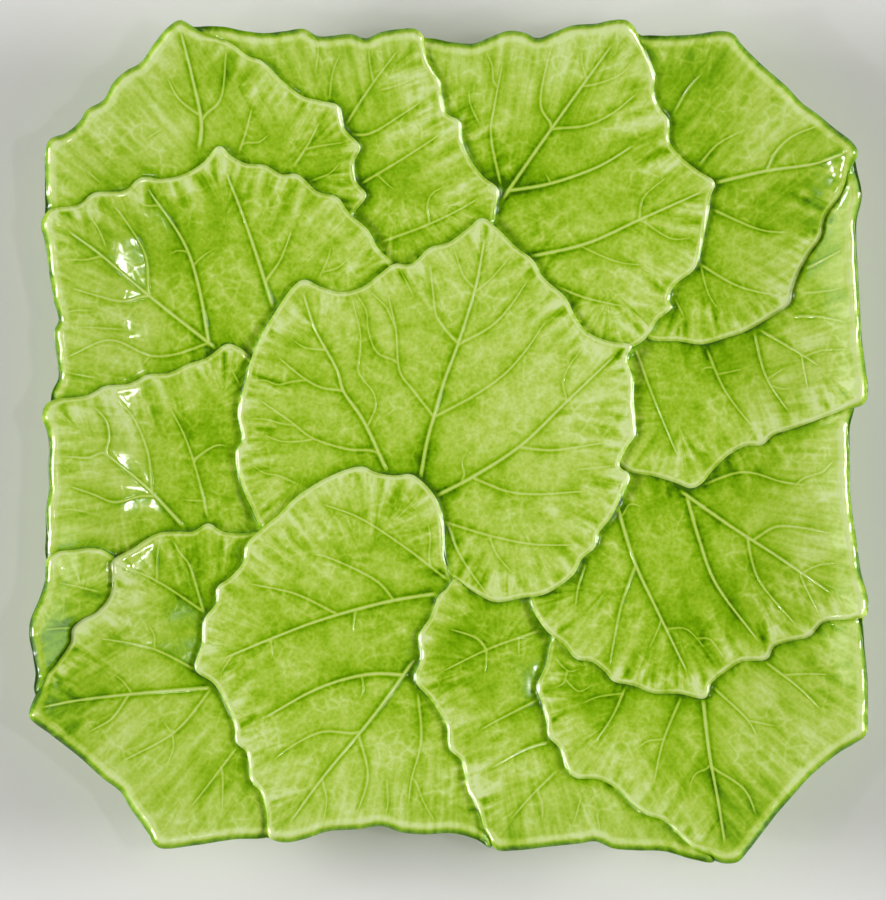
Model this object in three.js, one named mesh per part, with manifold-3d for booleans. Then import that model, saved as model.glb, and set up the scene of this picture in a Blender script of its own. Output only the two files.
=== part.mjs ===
// Salad plate of overlapping leaves: a square dish with clipped corners and an upturned rim stands on
// a foot ring, and fourteen leaves are laid over it like tiles, each one tucked under its neighbours.
// Millimetres, +Z up. The origin is on the table, under the middle of the plate.
import * as THREE from "three";
import { mergeVertices } from "three/addons/utils/BufferGeometryUtils.js";
import Module from "manifold-3d";

const wasm = await Module();
wasm.setup();

// Driving dimensions
const PLATE_WIDTH = 209;
const CORNER_CUT = 35;
const WELL_WIDTH = 126;
const RIM_RISE = 12;
const DISH_WALL = 2.8;
const EDGE_OVERHANG = 3;
const FOOT_WIDTH = 118;
const FOOT_WALL = 6;
const FOOT_HEIGHT = 4.6;
const LEAF_BED = 0.9;
const LEAF_STEP = 1.2;
const LAP_REACH = 16;
const SEAT_GAP = 0.3;
const SEAM_GAP = 0.3;

// A leaf can pass under two others at once, so it lies this many steps above its bed where it is free
const MOST_LAPS = 2;

// The width and corner cut of the plate that the leaf outlines below were drawn on
const DRAWN_WIDTH = 209;
const DRAWN_CORNER_CUT = 35;

// Fineness of the facets
const FACET = 10;
const SPAN_STEPS = 2;
const RING_POINTS = 72;

// How squarely the rim turns its eight corners
const RIM_SHARPNESS = 18;

// Glaze and clay colours
const GLAZE = 0xa0bf3d;
const CLAY = 0xd9c9a3;

// Each leaf, with the leaves that lie over it and its outline as seen from above. The stretches that
// pass under other leaves are simply closed below them.
const LEAVES = [
  {
    name: "centre_leaf",
    under: ["front_left_leaf"],
    outline: [
      [8.25, 56.5], [12, 54], [16.5, 49.5], [21, 46], [23.5, 41.75], [29.25, 36.5], [31.25, 32.5],
      [34.25, 28.25], [39.5, 25.75], [45.75, 24.5], [44.5, 21.5], [46, 16.25], [46, 11.75], [46.5, 5],
      [46.5, 2], [44, -2], [42.75, -5.75], [45, -7.75], [43.5, -12.25], [40.5, -18.5], [37.5, -22.5],
      [36.5, -26], [33.25, -29], [31.25, -32.75], [24, -37.75], [18, -38.75], [11.75, -39.75],
      [6.75, -37.75], [2.75, -35.25], [-0.5, -33], [-14, -24], [-34, -23], [-46.75, -21],
      [-49.5, -16], [-52, -10.25], [-53.25, -2], [-51.75, 1], [-52.75, 7.75], [-51, 15.75],
      [-49.5, 21.5], [-44.5, 31.5], [-36.75, 41], [-32, 39.25], [-27, 38], [-21.75, 39.25],
      [-18.25, 41.75], [-13.75, 45], [-9.5, 45], [-5, 49], [0, 50.5], [4.75, 54],
    ],
  },
  {
    name: "corner_leaf_back_left",
    under: ["left_rim_leaf_back"],
    outline: [
      [-99.75, 52], [-100.75, 60], [-100.75, 66], [-100.75, 72], [-99.5, 75.5], [-95.5, 77.25],
      [-92.25, 80], [-90.25, 83], [-86.25, 85.5], [-83.75, 89.75], [-80.5, 92.75], [-77, 94.75],
      [-73.5, 99.5], [-70, 103.5], [-67, 105.25], [-63.75, 103.75], [-59.25, 101.5], [-54.5, 99.75],
      [-50, 96.75], [-46.5, 95.5], [-42.25, 91.25], [-36.75, 87], [-32.25, 85.75], [-27.75, 84.5],
      [-26.25, 79], [-22.25, 74.25], [-23.75, 70.5], [-23.25, 65.75], [-20.75, 62.25],
      [-23.25, 58.5], [-27, 52], [-50, 53], [-75, 53],
    ],
  },
  {
    name: "back_left_leaf",
    under: ["corner_leaf_back_left", "left_rim_leaf_back", "centre_leaf"],
    outline: [
      [-66, 95], [-65, 103], [-62, 103.75], [-56.25, 103.75], [-51, 102.75], [-46, 102.25],
      [-40.75, 102.75], [-36.25, 103.25], [-32.5, 101.5], [-24.5, 102], [-20.75, 101],
      [-16.75, 102.5], [-11.75, 103.25], [-8.5, 103.25], [-6.5, 101.75], [-6, 98.5], [-5.25, 95],
      [-2.25, 90.25], [-1.75, 86.5], [-0.75, 82.75], [2.75, 80.5], [3.25, 76], [5.75, 70.5],
      [8.75, 66.75], [12.25, 63.75], [11.75, 59.25], [11, 55], [5, 47], [-12, 38], [-27, 43],
      [-37, 57], [-45, 78],
    ],
  },
  {
    name: "left_rim_leaf_back",
    under: ["left_rim_leaf_middle", "centre_leaf"],
    outline: [
      [-98, 5], [-99.25, 12], [-97.5, 16.25], [-98, 21.5], [-98.5, 28], [-97.5, 30.5],
      [-98.75, 35.75], [-99.75, 42], [-100.75, 49.5], [-101.75, 54.75], [-99.75, 58], [-92.75, 59.5],
      [-88.75, 62.5], [-81.25, 63.25], [-77, 66.5], [-72, 66.25], [-66.25, 67.5], [-61.5, 70.5],
      [-57.5, 74.5], [-54.5, 72], [-51, 70.25], [-46, 69.75], [-42, 67.5], [-38, 67.5], [-33, 63.25],
      [-28, 61.75], [-25, 57.75], [-20.25, 53.5], [-17.75, 49], [-14, 45], [-12, 36], [-30, 28],
      [-48, 13], [-74, 8],
    ],
  },
  {
    name: "left_rim_leaf_middle",
    under: ["centre_leaf", "corner_leaf_front_left", "left_rim_leaf_front", "front_left_leaf"],
    outline: [
      [-100, -30], [-100.5, -22], [-100.5, -16.75], [-99.75, -11.25], [-100, -6.25], [-99.75, -1.5],
      [-100.25, 2.5], [-101.5, 6.5], [-100, 10], [-90.25, 12], [-86.25, 14.25], [-80, 15],
      [-75.5, 17.25], [-70, 17.75], [-65.25, 20], [-60.75, 21.5], [-55.5, 25], [-52.5, 24],
      [-49.5, 21.5], [-44, 11], [-43, -9], [-45, -26], [-62, -30], [-82, -37], [-92, -34],
    ],
  },
  {
    name: "left_rim_leaf_front",
    under: ["corner_leaf_front_left"],
    outline: [
      [-101, -66], [-103.25, -62], [-103, -57.75], [-103.75, -52.5], [-104.5, -48.25],
      [-104.25, -44.5], [-102, -38.75], [-100.75, -34.5], [-100.25, -29], [-97.5, -27.25],
      [-93.5, -26.75], [-89.75, -26.25], [-86, -27], [-81, -32], [-84, -50], [-94, -63],
    ],
  },
  {
    name: "corner_leaf_front_left",
    under: ["front_left_leaf"],
    outline: [
      [-84.25, -29.5], [-79.5, -26.5], [-73, -22.5], [-68.25, -22], [-64.25, -22], [-60.25, -20],
      [-56.75, -22], [-52, -22.5], [-47, -22.25], [-40, -29], [-37, -64], [-40, -94], [-44.5, -98.25],
      [-53.5, -99], [-63.25, -100.5], [-71.5, -101.25], [-73.25, -100.25], [-75.5, -96.5],
      [-79.5, -91], [-81.75, -87.25], [-86.25, -83.75], [-91.75, -78.75], [-99, -73],
      [-104.25, -68.75], [-104.25, -66.75], [-103, -63.25], [-101, -59.25], [-97.5, -54.75],
      [-94.5, -50], [-94, -46.5], [-91.75, -44.25], [-87.75, -42], [-84.5, -37.25], [-84.5, -33],
    ],
  },
  {
    name: "front_left_leaf",
    under: ["front_right_leaf"],
    outline: [
      [-61.75, -49.5], [-61.25, -44], [-58.25, -39.75], [-58, -36], [-54.5, -33.25], [-51.5, -29.5],
      [-50.5, -25], [-46.5, -21], [-42, -17.25], [-39, -14], [-30, -8.25], [-22, -5.75],
      [-18.25, -7.25], [-13.75, -8], [-9.5, -7.75], [-5.5, -10.75], [-2.5, -15.25], [-1.5, -20.5],
      [-1, -28], [0.75, -33.5], [2, -40], [3, -64], [9, -90], [10.5, -101], [6.75, -99], [1, -97.5],
      [-6.5, -97.75], [-11.75, -97.25], [-16.75, -95.75], [-22.75, -96.5], [-30, -97], [-36.25, -99],
      [-41, -99.75], [-44.75, -98.5], [-45.5, -92], [-47, -87.25], [-49.5, -84.25], [-50.5, -77.5],
      [-53, -75], [-53.5, -71], [-55.5, -66], [-58.75, -60.25], [-63.5, -56.5],
    ],
  },
  {
    name: "front_right_leaf",
    under: ["centre_leaf", "right_rim_leaf_front", "corner_leaf_front_right"],
    outline: [
      [2.5, -33], [0.25, -34], [-1, -36], [-3, -38.5], [-4.5, -43], [-7.5, -48], [-7, -53.25],
      [-8.5, -59.25], [-4.5, -64.25], [-0.5, -71], [0.25, -76.5], [3.25, -79.75], [4.75, -86.75],
      [7.25, -91.5], [9.25, -97.5], [11.75, -101.5], [16.5, -101.75], [25.5, -100.75], [32.75, -100],
      [36.5, -99.5], [41, -101.25], [47, -101.75], [53.75, -102], [61, -104], [66, -104.5], [63, -97],
      [48, -84], [36, -64], [33, -47], [23, -34], [10, -31],
    ],
  },
  {
    name: "corner_leaf_front_right",
    under: ["right_rim_leaf_front"],
    outline: [
      [27, -46], [25.25, -50], [24, -55.75], [22, -60.75], [23.5, -66], [24.5, -70], [25, -73.5],
      [27.75, -76.5], [29.5, -81.5], [31.75, -83.75], [37, -84], [41.5, -86.25], [45, -89.75],
      [49.25, -93], [53.75, -94.5], [57.75, -98.5], [62, -102], [66, -104.25], [69, -105],
      [72, -104.5], [74.75, -101.5], [78.25, -97], [81.75, -92.5], [85.25, -88.5], [89, -84.25],
      [92.5, -81], [97, -77.5], [100.75, -75.25], [103.75, -73], [104.25, -67], [104.25, -59.25],
      [103.5, -51], [103, -44.5], [101, -38], [68, -52], [43, -48],
    ],
  },
  {
    name: "right_rim_leaf_front",
    under: ["centre_leaf", "right_rim_leaf_back"],
    outline: [
      [100.75, 10], [100, 3.5], [100, -5], [100.25, -14.25], [101.75, -25.5], [102.75, -32.75],
      [104, -37.25], [104.5, -40.5], [103.75, -43.5], [99.75, -44.25], [93.5, -45], [90, -48.5],
      [85.75, -49.5], [81.25, -51], [79.5, -54], [73, -54.75], [69, -57.25], [65.5, -60.25],
      [64, -63.75], [57.75, -62.75], [50.75, -62.5], [46.5, -60.75], [41, -59.5], [39, -57.25],
      [35.75, -54.75], [31.75, -54], [28.75, -50.5], [24, -46.5], [20, -38.5], [22, -30], [38, -9],
      [60, -2], [88, 11],
    ],
  },
  {
    name: "right_rim_leaf_back",
    under: ["centre_leaf", "back_right_leaf", "corner_leaf_back_right"],
    outline: [
      [100, 73], [102, 67], [103, 61.25], [101.75, 55.25], [101.75, 49], [102.25, 39.25],
      [102.75, 30.75], [103, 25.75], [104, 17.75], [104.5, 12.75], [103.5, 9.5], [98, 7.75],
      [90.5, 5], [85.25, 3.25], [81.25, 2], [78.25, -0.5], [74.25, -0.75], [70, -3], [66, -6.75],
      [63, -10.25], [60.5, -11.25], [56.25, -9.75], [51.25, -8.25], [44, -6.5], [40, 1], [41, 21],
      [47, 33], [73, 36], [88, 53],
    ],
  },
  {
    name: "corner_leaf_back_right",
    under: ["back_right_leaf"],
    outline: [
      [45, 96], [47, 101], [54.75, 101.5], [61, 101.75], [68, 102.5], [71, 101.75], [73.25, 99],
      [78.25, 94], [84.25, 88.75], [88, 84.75], [92, 81.75], [96.5, 78], [100.75, 74.5], [102, 72],
      [99.75, 67], [97.5, 61.25], [94, 56.25], [93, 51.5], [90, 47], [87.5, 42.5], [86, 38.25],
      [85.25, 34.75], [80.5, 31.5], [74.25, 28], [69, 26.25], [63, 24.75], [57.75, 25.5],
      [49.5, 26.5], [47, 34], [55, 56], [47, 80],
    ],
  },
  {
    name: "back_right_leaf",
    under: ["back_left_leaf", "centre_leaf"],
    outline: [
      [-9, 95], [-7.5, 100.5], [-4.75, 101], [1, 100], [6.25, 99.75], [9.75, 101], [15, 102.75],
      [19, 102.25], [22, 101], [26, 102.25], [30.75, 104], [37, 104.5], [40.5, 105.25],
      [44.25, 105.25], [46.25, 103.75], [47.75, 100.5], [49.75, 96], [51.5, 91.25], [51.25, 87.75],
      [53, 83.5], [55, 80.75], [55.25, 75.5], [57.75, 72], [62, 68.5], [66.5, 65.25], [65.5, 61.75],
      [64.5, 55.75], [63, 48.5], [61.5, 43.75], [56.25, 39.25], [55, 36], [55.75, 34], [52.25, 30.75],
      [50.25, 27.25], [45.75, 24], [38, 22], [23, 33], [10, 48], [5, 61], [-2, 78],
    ],
  },
];

// How far out a point lies, from 0 at the middle to 1 on the rim of a square with clipped corners
function rimShare(x, y, width, cornerCut) {
  const across = Math.abs(x) / (width / 2);
  const along = Math.abs(y) / (width / 2);
  const corner = (Math.abs(x) + Math.abs(y)) / (width - cornerCut);
  const sum = across ** RIM_SHARPNESS + along ** RIM_SHARPNESS + corner ** RIM_SHARPNESS;
  return sum ** (1 / RIM_SHARPNESS);
}

const plateShare = (x, y) => rimShare(x, y, PLATE_WIDTH, CORNER_CUT);

// Carries a drawn point to this plate's own width and corners, along its line from the middle
function placed([x, y]) {
  const stretch = rimShare(x, y, DRAWN_WIDTH, DRAWN_CORNER_CUT) / plateShare(x, y);
  return new THREE.Vector2(x * stretch, y * stretch);
}

// Heights of the dish: a flat floor, then a rim that turns up ever more steeply
const FLOOR_UNDERSIDE = FOOT_HEIGHT + SEAT_GAP;
const WELL_SHARE = WELL_WIDTH / PLATE_WIDTH;

function dishUnderside(x, y) {
  const outward = Math.max(0, (plateShare(x, y) - WELL_SHARE) / (1 - WELL_SHARE));
  return FLOOR_UNDERSIDE + RIM_RISE * outward ** 2;
}

const dishTop = (x, y) => dishUnderside(x, y) + DISH_WALL;
const leafUnderside = (x, y) => dishTop(x, y) + SEAT_GAP;

// Closed geometry from loose corners and triangles
function closedGeometry(corners, triangles) {
  const geometry = new THREE.BufferGeometry();
  geometry.setAttribute("position", new THREE.Float32BufferAttribute(corners, 3));
  geometry.setIndex(triangles);
  return geometry;
}

function solidOf(geometry) {
  const bare = geometry.clone();
  bare.deleteAttribute("normal");
  bare.deleteAttribute("uv");
  const merged = mergeVertices(bare, 1e-4);
  return new wasm.Manifold(new wasm.Mesh({
    numProp: 3,
    vertProperties: new Float32Array(merged.attributes.position.array),
    triVerts: new Uint32Array(merged.index.array),
  }));
}

function geometryOf(solid) {
  const { vertProperties, triVerts } = solid.getMesh();
  const geometry = closedGeometry(Array.from(vertProperties), Array.from(triVerts));
  geometry.computeVertexNormals();
  return geometry;
}

// A block over the box of an outline, between two height functions. All blocks share one grid, so a
// leaf's underside has the facets of the dish below it.
function block(outline, bottom, top) {
  const box = new THREE.Box2().setFromPoints(outline);
  const first = box.min.clone().divideScalar(FACET).floor().subScalar(1);
  const last = box.max.clone().divideScalar(FACET).ceil().addScalar(1);
  const columns = last.x - first.x + 1;
  const rows = last.y - first.y + 1;
  const layer = columns * rows;
  const corners = [];
  for (const height of [bottom, top]) {
    for (let row = 0; row < rows; row += 1) {
      for (let column = 0; column < columns; column += 1) {
        const x = (first.x + column) * FACET;
        const y = (first.y + row) * FACET;
        corners.push(x, y, height(x, y));
      }
    }
  }
  const triangles = [];
  for (let row = 0; row < rows - 1; row += 1) {
    for (let column = 0; column < columns - 1; column += 1) {
      const a = row * columns + column;
      const b = a + 1;
      const c = b + columns;
      const d = a + columns;
      triangles.push(a, c, b, a, d, c);
      triangles.push(a + layer, b + layer, c + layer, a + layer, c + layer, d + layer);
    }
  }
  const wall = (from, to) => triangles.push(from, to, to + layer, from, to + layer, from + layer);
  for (let column = 0; column < columns - 1; column += 1) {
    const back = (rows - 1) * columns + column;
    wall(column, column + 1);
    wall(back + 1, back);
  }
  for (let row = 0; row < rows - 1; row += 1) {
    const left = row * columns;
    const right = left + columns - 1;
    wall(left + columns, left);
    wall(right, right + columns);
  }
  return solidOf(closedGeometry(corners, triangles));
}

// An upright prism of an outline, which starts below the plate and ends well above its tips
function prism(outline) {
  const rimTop = FLOOR_UNDERSIDE + DISH_WALL + SEAT_GAP + RIM_RISE + LEAF_BED + LEAF_STEP * MOST_LAPS;
  const shape = new THREE.Shape(outline);
  const geometry = new THREE.ExtrudeGeometry(shape, { depth: 3 * rimTop, bevelEnabled: false });
  geometry.translate(0, 0, -rimTop);
  return solidOf(geometry);
}

// A ring of points around the middle, each as far out as the given function of its direction says
function ringOutline(reach) {
  const outline = [];
  for (let i = 0; i < RING_POINTS; i += 1) {
    const turn = (2 * Math.PI * i) / RING_POINTS;
    const direction = new THREE.Vector2(Math.cos(turn), Math.sin(turn));
    outline.push(direction.clone().multiplyScalar(reach(direction)));
  }
  return outline;
}

// How far a ring of the plate's own shape reaches, from the ring's half width
const ringReach = (direction, halfWidth) =>
  halfWidth / (PLATE_WIDTH / 2) / plateShare(direction.x, direction.y);

// A leaf's margin: a smooth curve through its drawn points
function leafMargin(leaf) {
  const points = leaf.outline.map(placed).map((p) => new THREE.Vector3(p.x, p.y, 0));
  const curve = new THREE.CatmullRomCurve3(points, true, "centripetal");
  const samples = curve.getPoints(points.length * SPAN_STEPS).slice(0, -1);
  const margin = samples.map((p) => new THREE.Vector2(p.x, p.y));
  return THREE.ShapeUtils.isClockWise(margin) ? margin : margin.reverse();
}

// The same margin moved outward by a clearance; margins run clockwise
function grown(margin, clearance) {
  return margin.map((point, i) => {
    const before = margin[(i + margin.length - 1) % margin.length];
    const after = margin[(i + 1) % margin.length];
    const along = after.clone().sub(before).normalize();
    return new THREE.Vector2(point.x - along.y * clearance, point.y + along.x * clearance);
  });
}

// Distance from a point to a margin, 0 inside it
function distanceTo(margin, x, y) {
  let nearest = Infinity;
  let inside = false;
  for (let i = 0; i < margin.length; i += 1) {
    const a = margin[i];
    const b = margin[(i + 1) % margin.length];
    const run = b.clone().sub(a);
    const offset = new THREE.Vector2(x, y).sub(a);
    const share = THREE.MathUtils.clamp(offset.dot(run) / run.lengthSq(), 0, 1);
    nearest = Math.min(nearest, offset.sub(run.multiplyScalar(share)).length());
    if (a.y > y !== b.y > y && x < a.x + ((y - a.y) / (b.y - a.y)) * (b.x - a.x)) inside = !inside;
  }
  return inside ? 0 : nearest;
}

const margins = new Map(LEAVES.map((leaf) => [leaf.name, leafMargin(leaf)]));

// A leaf sinks by one step where a neighbour laps over it, and rises again away from that neighbour
function leafTop(leaf, x, y) {
  let laps = 0;
  for (const name of leaf.under) {
    const clear = Math.min(1, distanceTo(margins.get(name), x, y) / LAP_REACH);
    laps += (1 - clear) ** 2;
  }
  return leafUnderside(x, y) + LEAF_BED + LEAF_STEP * (MOST_LAPS - Math.min(laps, MOST_LAPS));
}

function leafGeometry(leaf) {
  const margin = margins.get(leaf.name);
  let solid = block(margin, leafUnderside, (x, y) => leafTop(leaf, x, y)).intersect(prism(margin));
  for (const name of leaf.under) solid = solid.subtract(prism(grown(margins.get(name), SEAM_GAP)));
  return geometryOf(solid);
}

// How far the leaves reach from the middle: the last margin that a straight line outward crosses
function leafReach(direction) {
  let reach = 0;
  for (const margin of margins.values()) {
    margin.forEach((a, i) => {
      const b = margin[(i + 1) % margin.length];
      const sideA = direction.cross(a);
      const sideB = direction.cross(b);
      if (sideA > 0 === sideB > 0) return;
      const crossing = a.clone().lerp(b, sideA / (sideA - sideB));
      reach = Math.max(reach, direction.dot(crossing));
    });
  }
  return reach;
}

// The dish's edge follows the leaves, which hang over it all round
function dishGeometry() {
  const outline = ringOutline((direction) => leafReach(direction) - EDGE_OVERHANG);
  return geometryOf(block(outline, dishUnderside, dishTop).intersect(prism(outline)));
}

function footGeometry() {
  const outer = ringOutline((direction) => ringReach(direction, FOOT_WIDTH / 2));
  const inner = ringOutline((direction) => ringReach(direction, FOOT_WIDTH / 2 - FOOT_WALL));
  const ring = prism(outer).subtract(prism(inner));
  const underDish = (x, y) => dishUnderside(x, y) - SEAT_GAP;
  return geometryOf(block(outer, () => 0, underDish).intersect(ring));
}

const glaze = () => new THREE.MeshStandardMaterial({ color: GLAZE, roughness: 0.18, metalness: 0 });
const clay = () => new THREE.MeshStandardMaterial({ color: CLAY, roughness: 0.85, metalness: 0 });

const plate = new THREE.Group();
plate.name = "salad_plate";

function addPiece(name, geometry, material) {
  const mesh = new THREE.Mesh(geometry, material);
  mesh.name = name;
  plate.add(mesh);
}

addPiece("foot_ring", footGeometry(), clay());
addPiece("dish", dishGeometry(), glaze());
for (const leaf of LEAVES) addPiece(leaf.name, leafGeometry(leaf), glaze());

export default plate;
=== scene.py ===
"""Salad plate of overlapping leaves, dressed for pictures.

Fourteen veined leaves, the dish that they are laid on and the foot under it. One glossy green glaze
covers them: it breaks pale on veins and edges, and pools dark below the steps between the leaves. Painted
shadow darkens it below the steps, and painted shade lies beside the veins, on the rim's outer face and in
a ring at the rim's foot.
"""
import math

import bpy
import numpy as np
from bpy.props import FloatProperty, FloatVectorProperty, PointerProperty
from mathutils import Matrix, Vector, kdtree, noise
from mathutils.geometry import delaunay_2d_cdt


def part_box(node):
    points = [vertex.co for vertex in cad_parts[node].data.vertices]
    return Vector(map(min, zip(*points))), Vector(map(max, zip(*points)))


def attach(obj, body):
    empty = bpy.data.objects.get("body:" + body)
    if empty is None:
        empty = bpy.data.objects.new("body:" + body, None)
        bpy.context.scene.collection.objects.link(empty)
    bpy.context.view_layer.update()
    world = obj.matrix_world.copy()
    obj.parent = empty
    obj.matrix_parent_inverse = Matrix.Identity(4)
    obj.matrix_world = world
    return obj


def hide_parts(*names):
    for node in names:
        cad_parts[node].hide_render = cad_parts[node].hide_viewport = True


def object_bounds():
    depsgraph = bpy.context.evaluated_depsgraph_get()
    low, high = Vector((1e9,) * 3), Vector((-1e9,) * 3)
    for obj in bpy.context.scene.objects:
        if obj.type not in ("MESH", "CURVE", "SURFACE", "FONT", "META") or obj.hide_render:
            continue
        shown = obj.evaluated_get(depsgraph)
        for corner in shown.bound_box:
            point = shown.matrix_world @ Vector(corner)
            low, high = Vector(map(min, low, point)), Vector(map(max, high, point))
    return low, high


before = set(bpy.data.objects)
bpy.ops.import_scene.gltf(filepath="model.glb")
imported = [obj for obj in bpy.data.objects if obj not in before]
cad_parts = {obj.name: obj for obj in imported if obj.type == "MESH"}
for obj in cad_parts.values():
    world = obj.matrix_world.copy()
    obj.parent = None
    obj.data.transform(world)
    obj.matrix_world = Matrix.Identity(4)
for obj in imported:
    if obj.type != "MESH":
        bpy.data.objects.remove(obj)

bl_info = {
    "name": "Leaf plate",
    "version": (1, 0, 0),
    "blender": (4, 5, 0),
    "location": "View3D > Sidebar > Leaf plate",
    "description": "Dresses a salad plate of overlapping leaves in its veins, rounded edges and glaze",
    "category": "Add Mesh",
}

CAD_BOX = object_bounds()

# Plans and heights below are drawn in millimetres, and meshes are in metres
MM = 0.001

# Form of the dish under the leaves, and the slip that fills most of the gap between it and a leaf
PLATE_WIDTH = 209.0
CORNER_CUT = 35.0
RIM_SHARPNESS = 18
WELL_WIDTH = 126.0
RIM_RISE = 12.0
DISH_WALL = 2.8
SEAT_GAP = 0.3
SLIP_SHARE = 0.9
FLOOR_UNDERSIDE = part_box("dish")[0].z / MM

# How the leaves lie on it: bed thickness, rise of one lap, the width over which a lap shows and the
# most laps that count
LEAF_BED = 0.9
LEAF_STEP = 1.2
LAP_REACH = 16.0
MOST_LAPS = 2

# A leaf's edge. Each pair is for a step between leaves and for the plate's rim
BEVEL_STEEPNESS = (1.0, 0.92)  # slope of the bevel against the set one
BEVEL_WAVER = (0.45, 0.15)  # how far that varies along the edge
LEAST_SLOPE = 0.3  # least fall of the bevel for its width
SHOULDER = (0.65, 0.4)  # share of the bevel over which the upper face rounds into it
SHOULDER_WAVER = (0.6, 0.2)  # how far that varies along the edge
SHOULDER_LIMITS = (0.3, 1.0)  # least and most of that share
NOSE = (0.17, 0.306)  # share of the bevel over which it rounds over at its foot
MOST_FALL = 0.75  # most that an edge falls by, as a share of the leaf's thickness
CURL_PLACE = 1.6  # where an edge stands up most, in widths of the lip
TUCK_SLOPE = 0.6  # fall of a leaf below the one that lies over it
STEP_CLEARANCE = (-0.2, 1.6)  # distance from a step over which relief fades in
UNDER_LIP = (0.2, 0.35)  # radius of the lower edge
LIP_ROOM = 0.8  # most that the lower edge takes of an edge's height
UNDER_LIP_TURNS = (0, 30, 60, 90)  # degrees round the lower edge

# Waves of the upper face: length along the margin or across the plate, length the other way, and seed
RIM_WAVES = (17.0, 17.0, 1.0)
RIPPLES = (3.2, 6.0, 3.0)
SWELLS = (13.0, 13.0, 5.0)
BEVEL_WAVES = (4.0, 20.0, 7.0)
SMALL_SWELLS = (6.0, 6.0, 9.0)
SHOULDER_WAVES = (5.0, 20.0, 11.0)
SMALL_SWELL_SHARE = 0.3  # height of the small swells against the others
RIPPLE_REACH = 3.5  # how far in from the margin the ripples reach
RIM_WAVE_ZONE = (0.72, 0.95)  # shares of the way out over which the rim's waves rise

# Lines as drawn, and what is found beside them
SPAN_POINTS = 16  # points from one drawn point to the next
LINE_STEP = 0.45  # step along margins and veins
TOOTH_BLEND = 3  # steps to each side over which a tooth's bend is taken
TOOTH_BEND = 0.3  # bend of a full tooth
RIM_LOOK = 2.0  # how far outside a margin another leaf is looked for
RIM_BLEND = 5  # steps to each side over which the rim passes into a step
SWEEP_BLEND = 18  # steps to each side that smooth the margin for the streaks along it
BRANCH_REACH = 2.8  # how far a drawn branch may start from the vein that it leaves
BRANCH_START = 3  # steps at a vein's base that no branch leaves from
SAME_POINT = 0.4  # a drawn start this near to the vein is left out
BASE_REACH = 2.0  # how far back a vein begins that leaves no other
END_FADE = 2.5  # length over which a vein's end fades
VEIN_REACH = 9.0  # how far to the side a vein is felt
LEAST_WIDTH = 0.35  # width that even the finest vein would have, against a main vein
LEAST_MARK = 0.3  # how far even the finest vein would show in the glaze, against a main vein
WIDTH_LOSS = 0.45  # share of its width that a vein loses on the way to its tip
HEIGHT_LOSS = 0.4  # share of its height that it loses
HOLLOW_LOSS = 0.65  # share that the hollow beside it loses
MARK_POWER = 0.65  # below 1, the mark in the glaze is fuller than the vein's own section
VEIN_LINE_PLACE = 1.25  # middle of the dark line of painted shade and gathered glaze beside a vein, in half widths of the vein
VEIN_LINE_REACH = 0.45  # half width of that line
FAR = 60.0  # distance from the leaves above where there are none

# Points of a leaf's mesh: rows inward from a margin in widths of the lip, out from a step in widths of
# the fillet and across a vein in half widths, and how near they come to the points laid before them
EDGE_ROWS = (0.03, 0.09, 0.17, 0.32, 0.5, 0.7, 0.85, 1.0, 1.35, 1.8)
FILLET_ROWS = (0.02, 0.12, 0.28, 0.5, 0.8)
VEIN_ROWS = (-1.5, -0.95, -0.5, 0.0, 0.5, 0.95, 1.5)
FILLET_GAP = 0.09
VEIN_GAP = 0.11
FIELD_GAP = 0.16
ROW_SLACK = 0.03  # how far a point of an edge row may be off its depth
CUT_STEP = 0.6  # step along the cut below another leaf
CUT_OVERRUN = 2.0  # how far that cut is followed outside the leaf
ON_LINE = 0.02  # what lies this near to a margin or cut lies on it
ON_MARGIN = 0.05  # border points this near to a margin belong to it
MERGE_GAP = 1e-6  # points this near to each other are one
CELL_ROW = 1 << 20  # more cells than a row of the search grid has
CAP_STEP = 3.0  # step of the points over a leaf's underside
CAP_CLEARANCE = 0.45  # how near those come to the border, in steps
HIDDEN = -3.0  # mark of points that no one sees

# Points of the dish and of the foot
DISH_TURNS = 900  # points round the dish
DISH_BLEND = 4  # points to each side that smooth its edge
DISH_SLACK = 1.0  # how far the smoothed edge may lie outside the least of those
DISH_EDGE_TURN = 15  # degrees from row to row round its edge
DISH_TOP_STEP = 4.0  # step over its upper side, which the leaves hide
DISH_UNDERSIDE_STEP = 1.6  # step over its underside
FOOT_TURNS = 720  # points round the foot
FOOT_INSET = 0.3  # how far the foot slims towards the dish on each side
FOOT_CORNER_POINTS = 8  # points round each of its lower edges

# Glaze
THINNEST = -0.25  # depth at the pale end of the colours
DEPTH_SPAN = 1.5  # depth from there to their dark end
LEAF_DEPTH = 0.38  # usual depth on the leaves
UNDERSIDE_DEPTH = 0.52  # usual depth on the dish's underside
RIM_FOOT = 0.6  # share of the way out where the rim begins to rise, round which a ring of painted shade lies
RIM_FOOT_REACH = 0.1  # how far to each side that painted shade reaches
RIM_FOOT_SHADE = 0.09  # how dark the painted shade is
TOOTH_REACH = 2.5  # how far in from a tooth's tip the glaze runs thin
TOOTH_WASH_REACH = 8.0  # how far it does so a little
TOOTH_WASH = 0.7  # how much that is
GLAZE_IOR = 1.5  # refraction of the glaze
STREAK_RADIUS = 90.0  # distance from the middle at which outward streaks have their stated width

# The photograph's frame: its size in pixels, the pixel of the plate's middle and pixels to the metre
FRAME_WIDTH = 886
FRAME_HEIGHT = 900
MIDDLE_PIXEL = (449, 443)
PIXELS_PER_METRE = 4000

# Stage
FLOOR_SIZE = 6.0  # side of the floor in metres
SENSOR = 36.0  # height of the camera's sensor in millimetres
CAMERA_TILT = math.radians(2.0)  # how far the camera stands to the front
CAMERA_LEAN = math.radians(0.6)  # how far it stands to the right
WORLD_BRIM = 1.15  # share of the world's light near the horizon
WORLD_FADE = (0.2, 0.95)  # heights over which it fades towards the top

# Size of a vein against a main vein
MAIN = 1.0
SIDE = 0.66
FINE = 0.44

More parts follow.
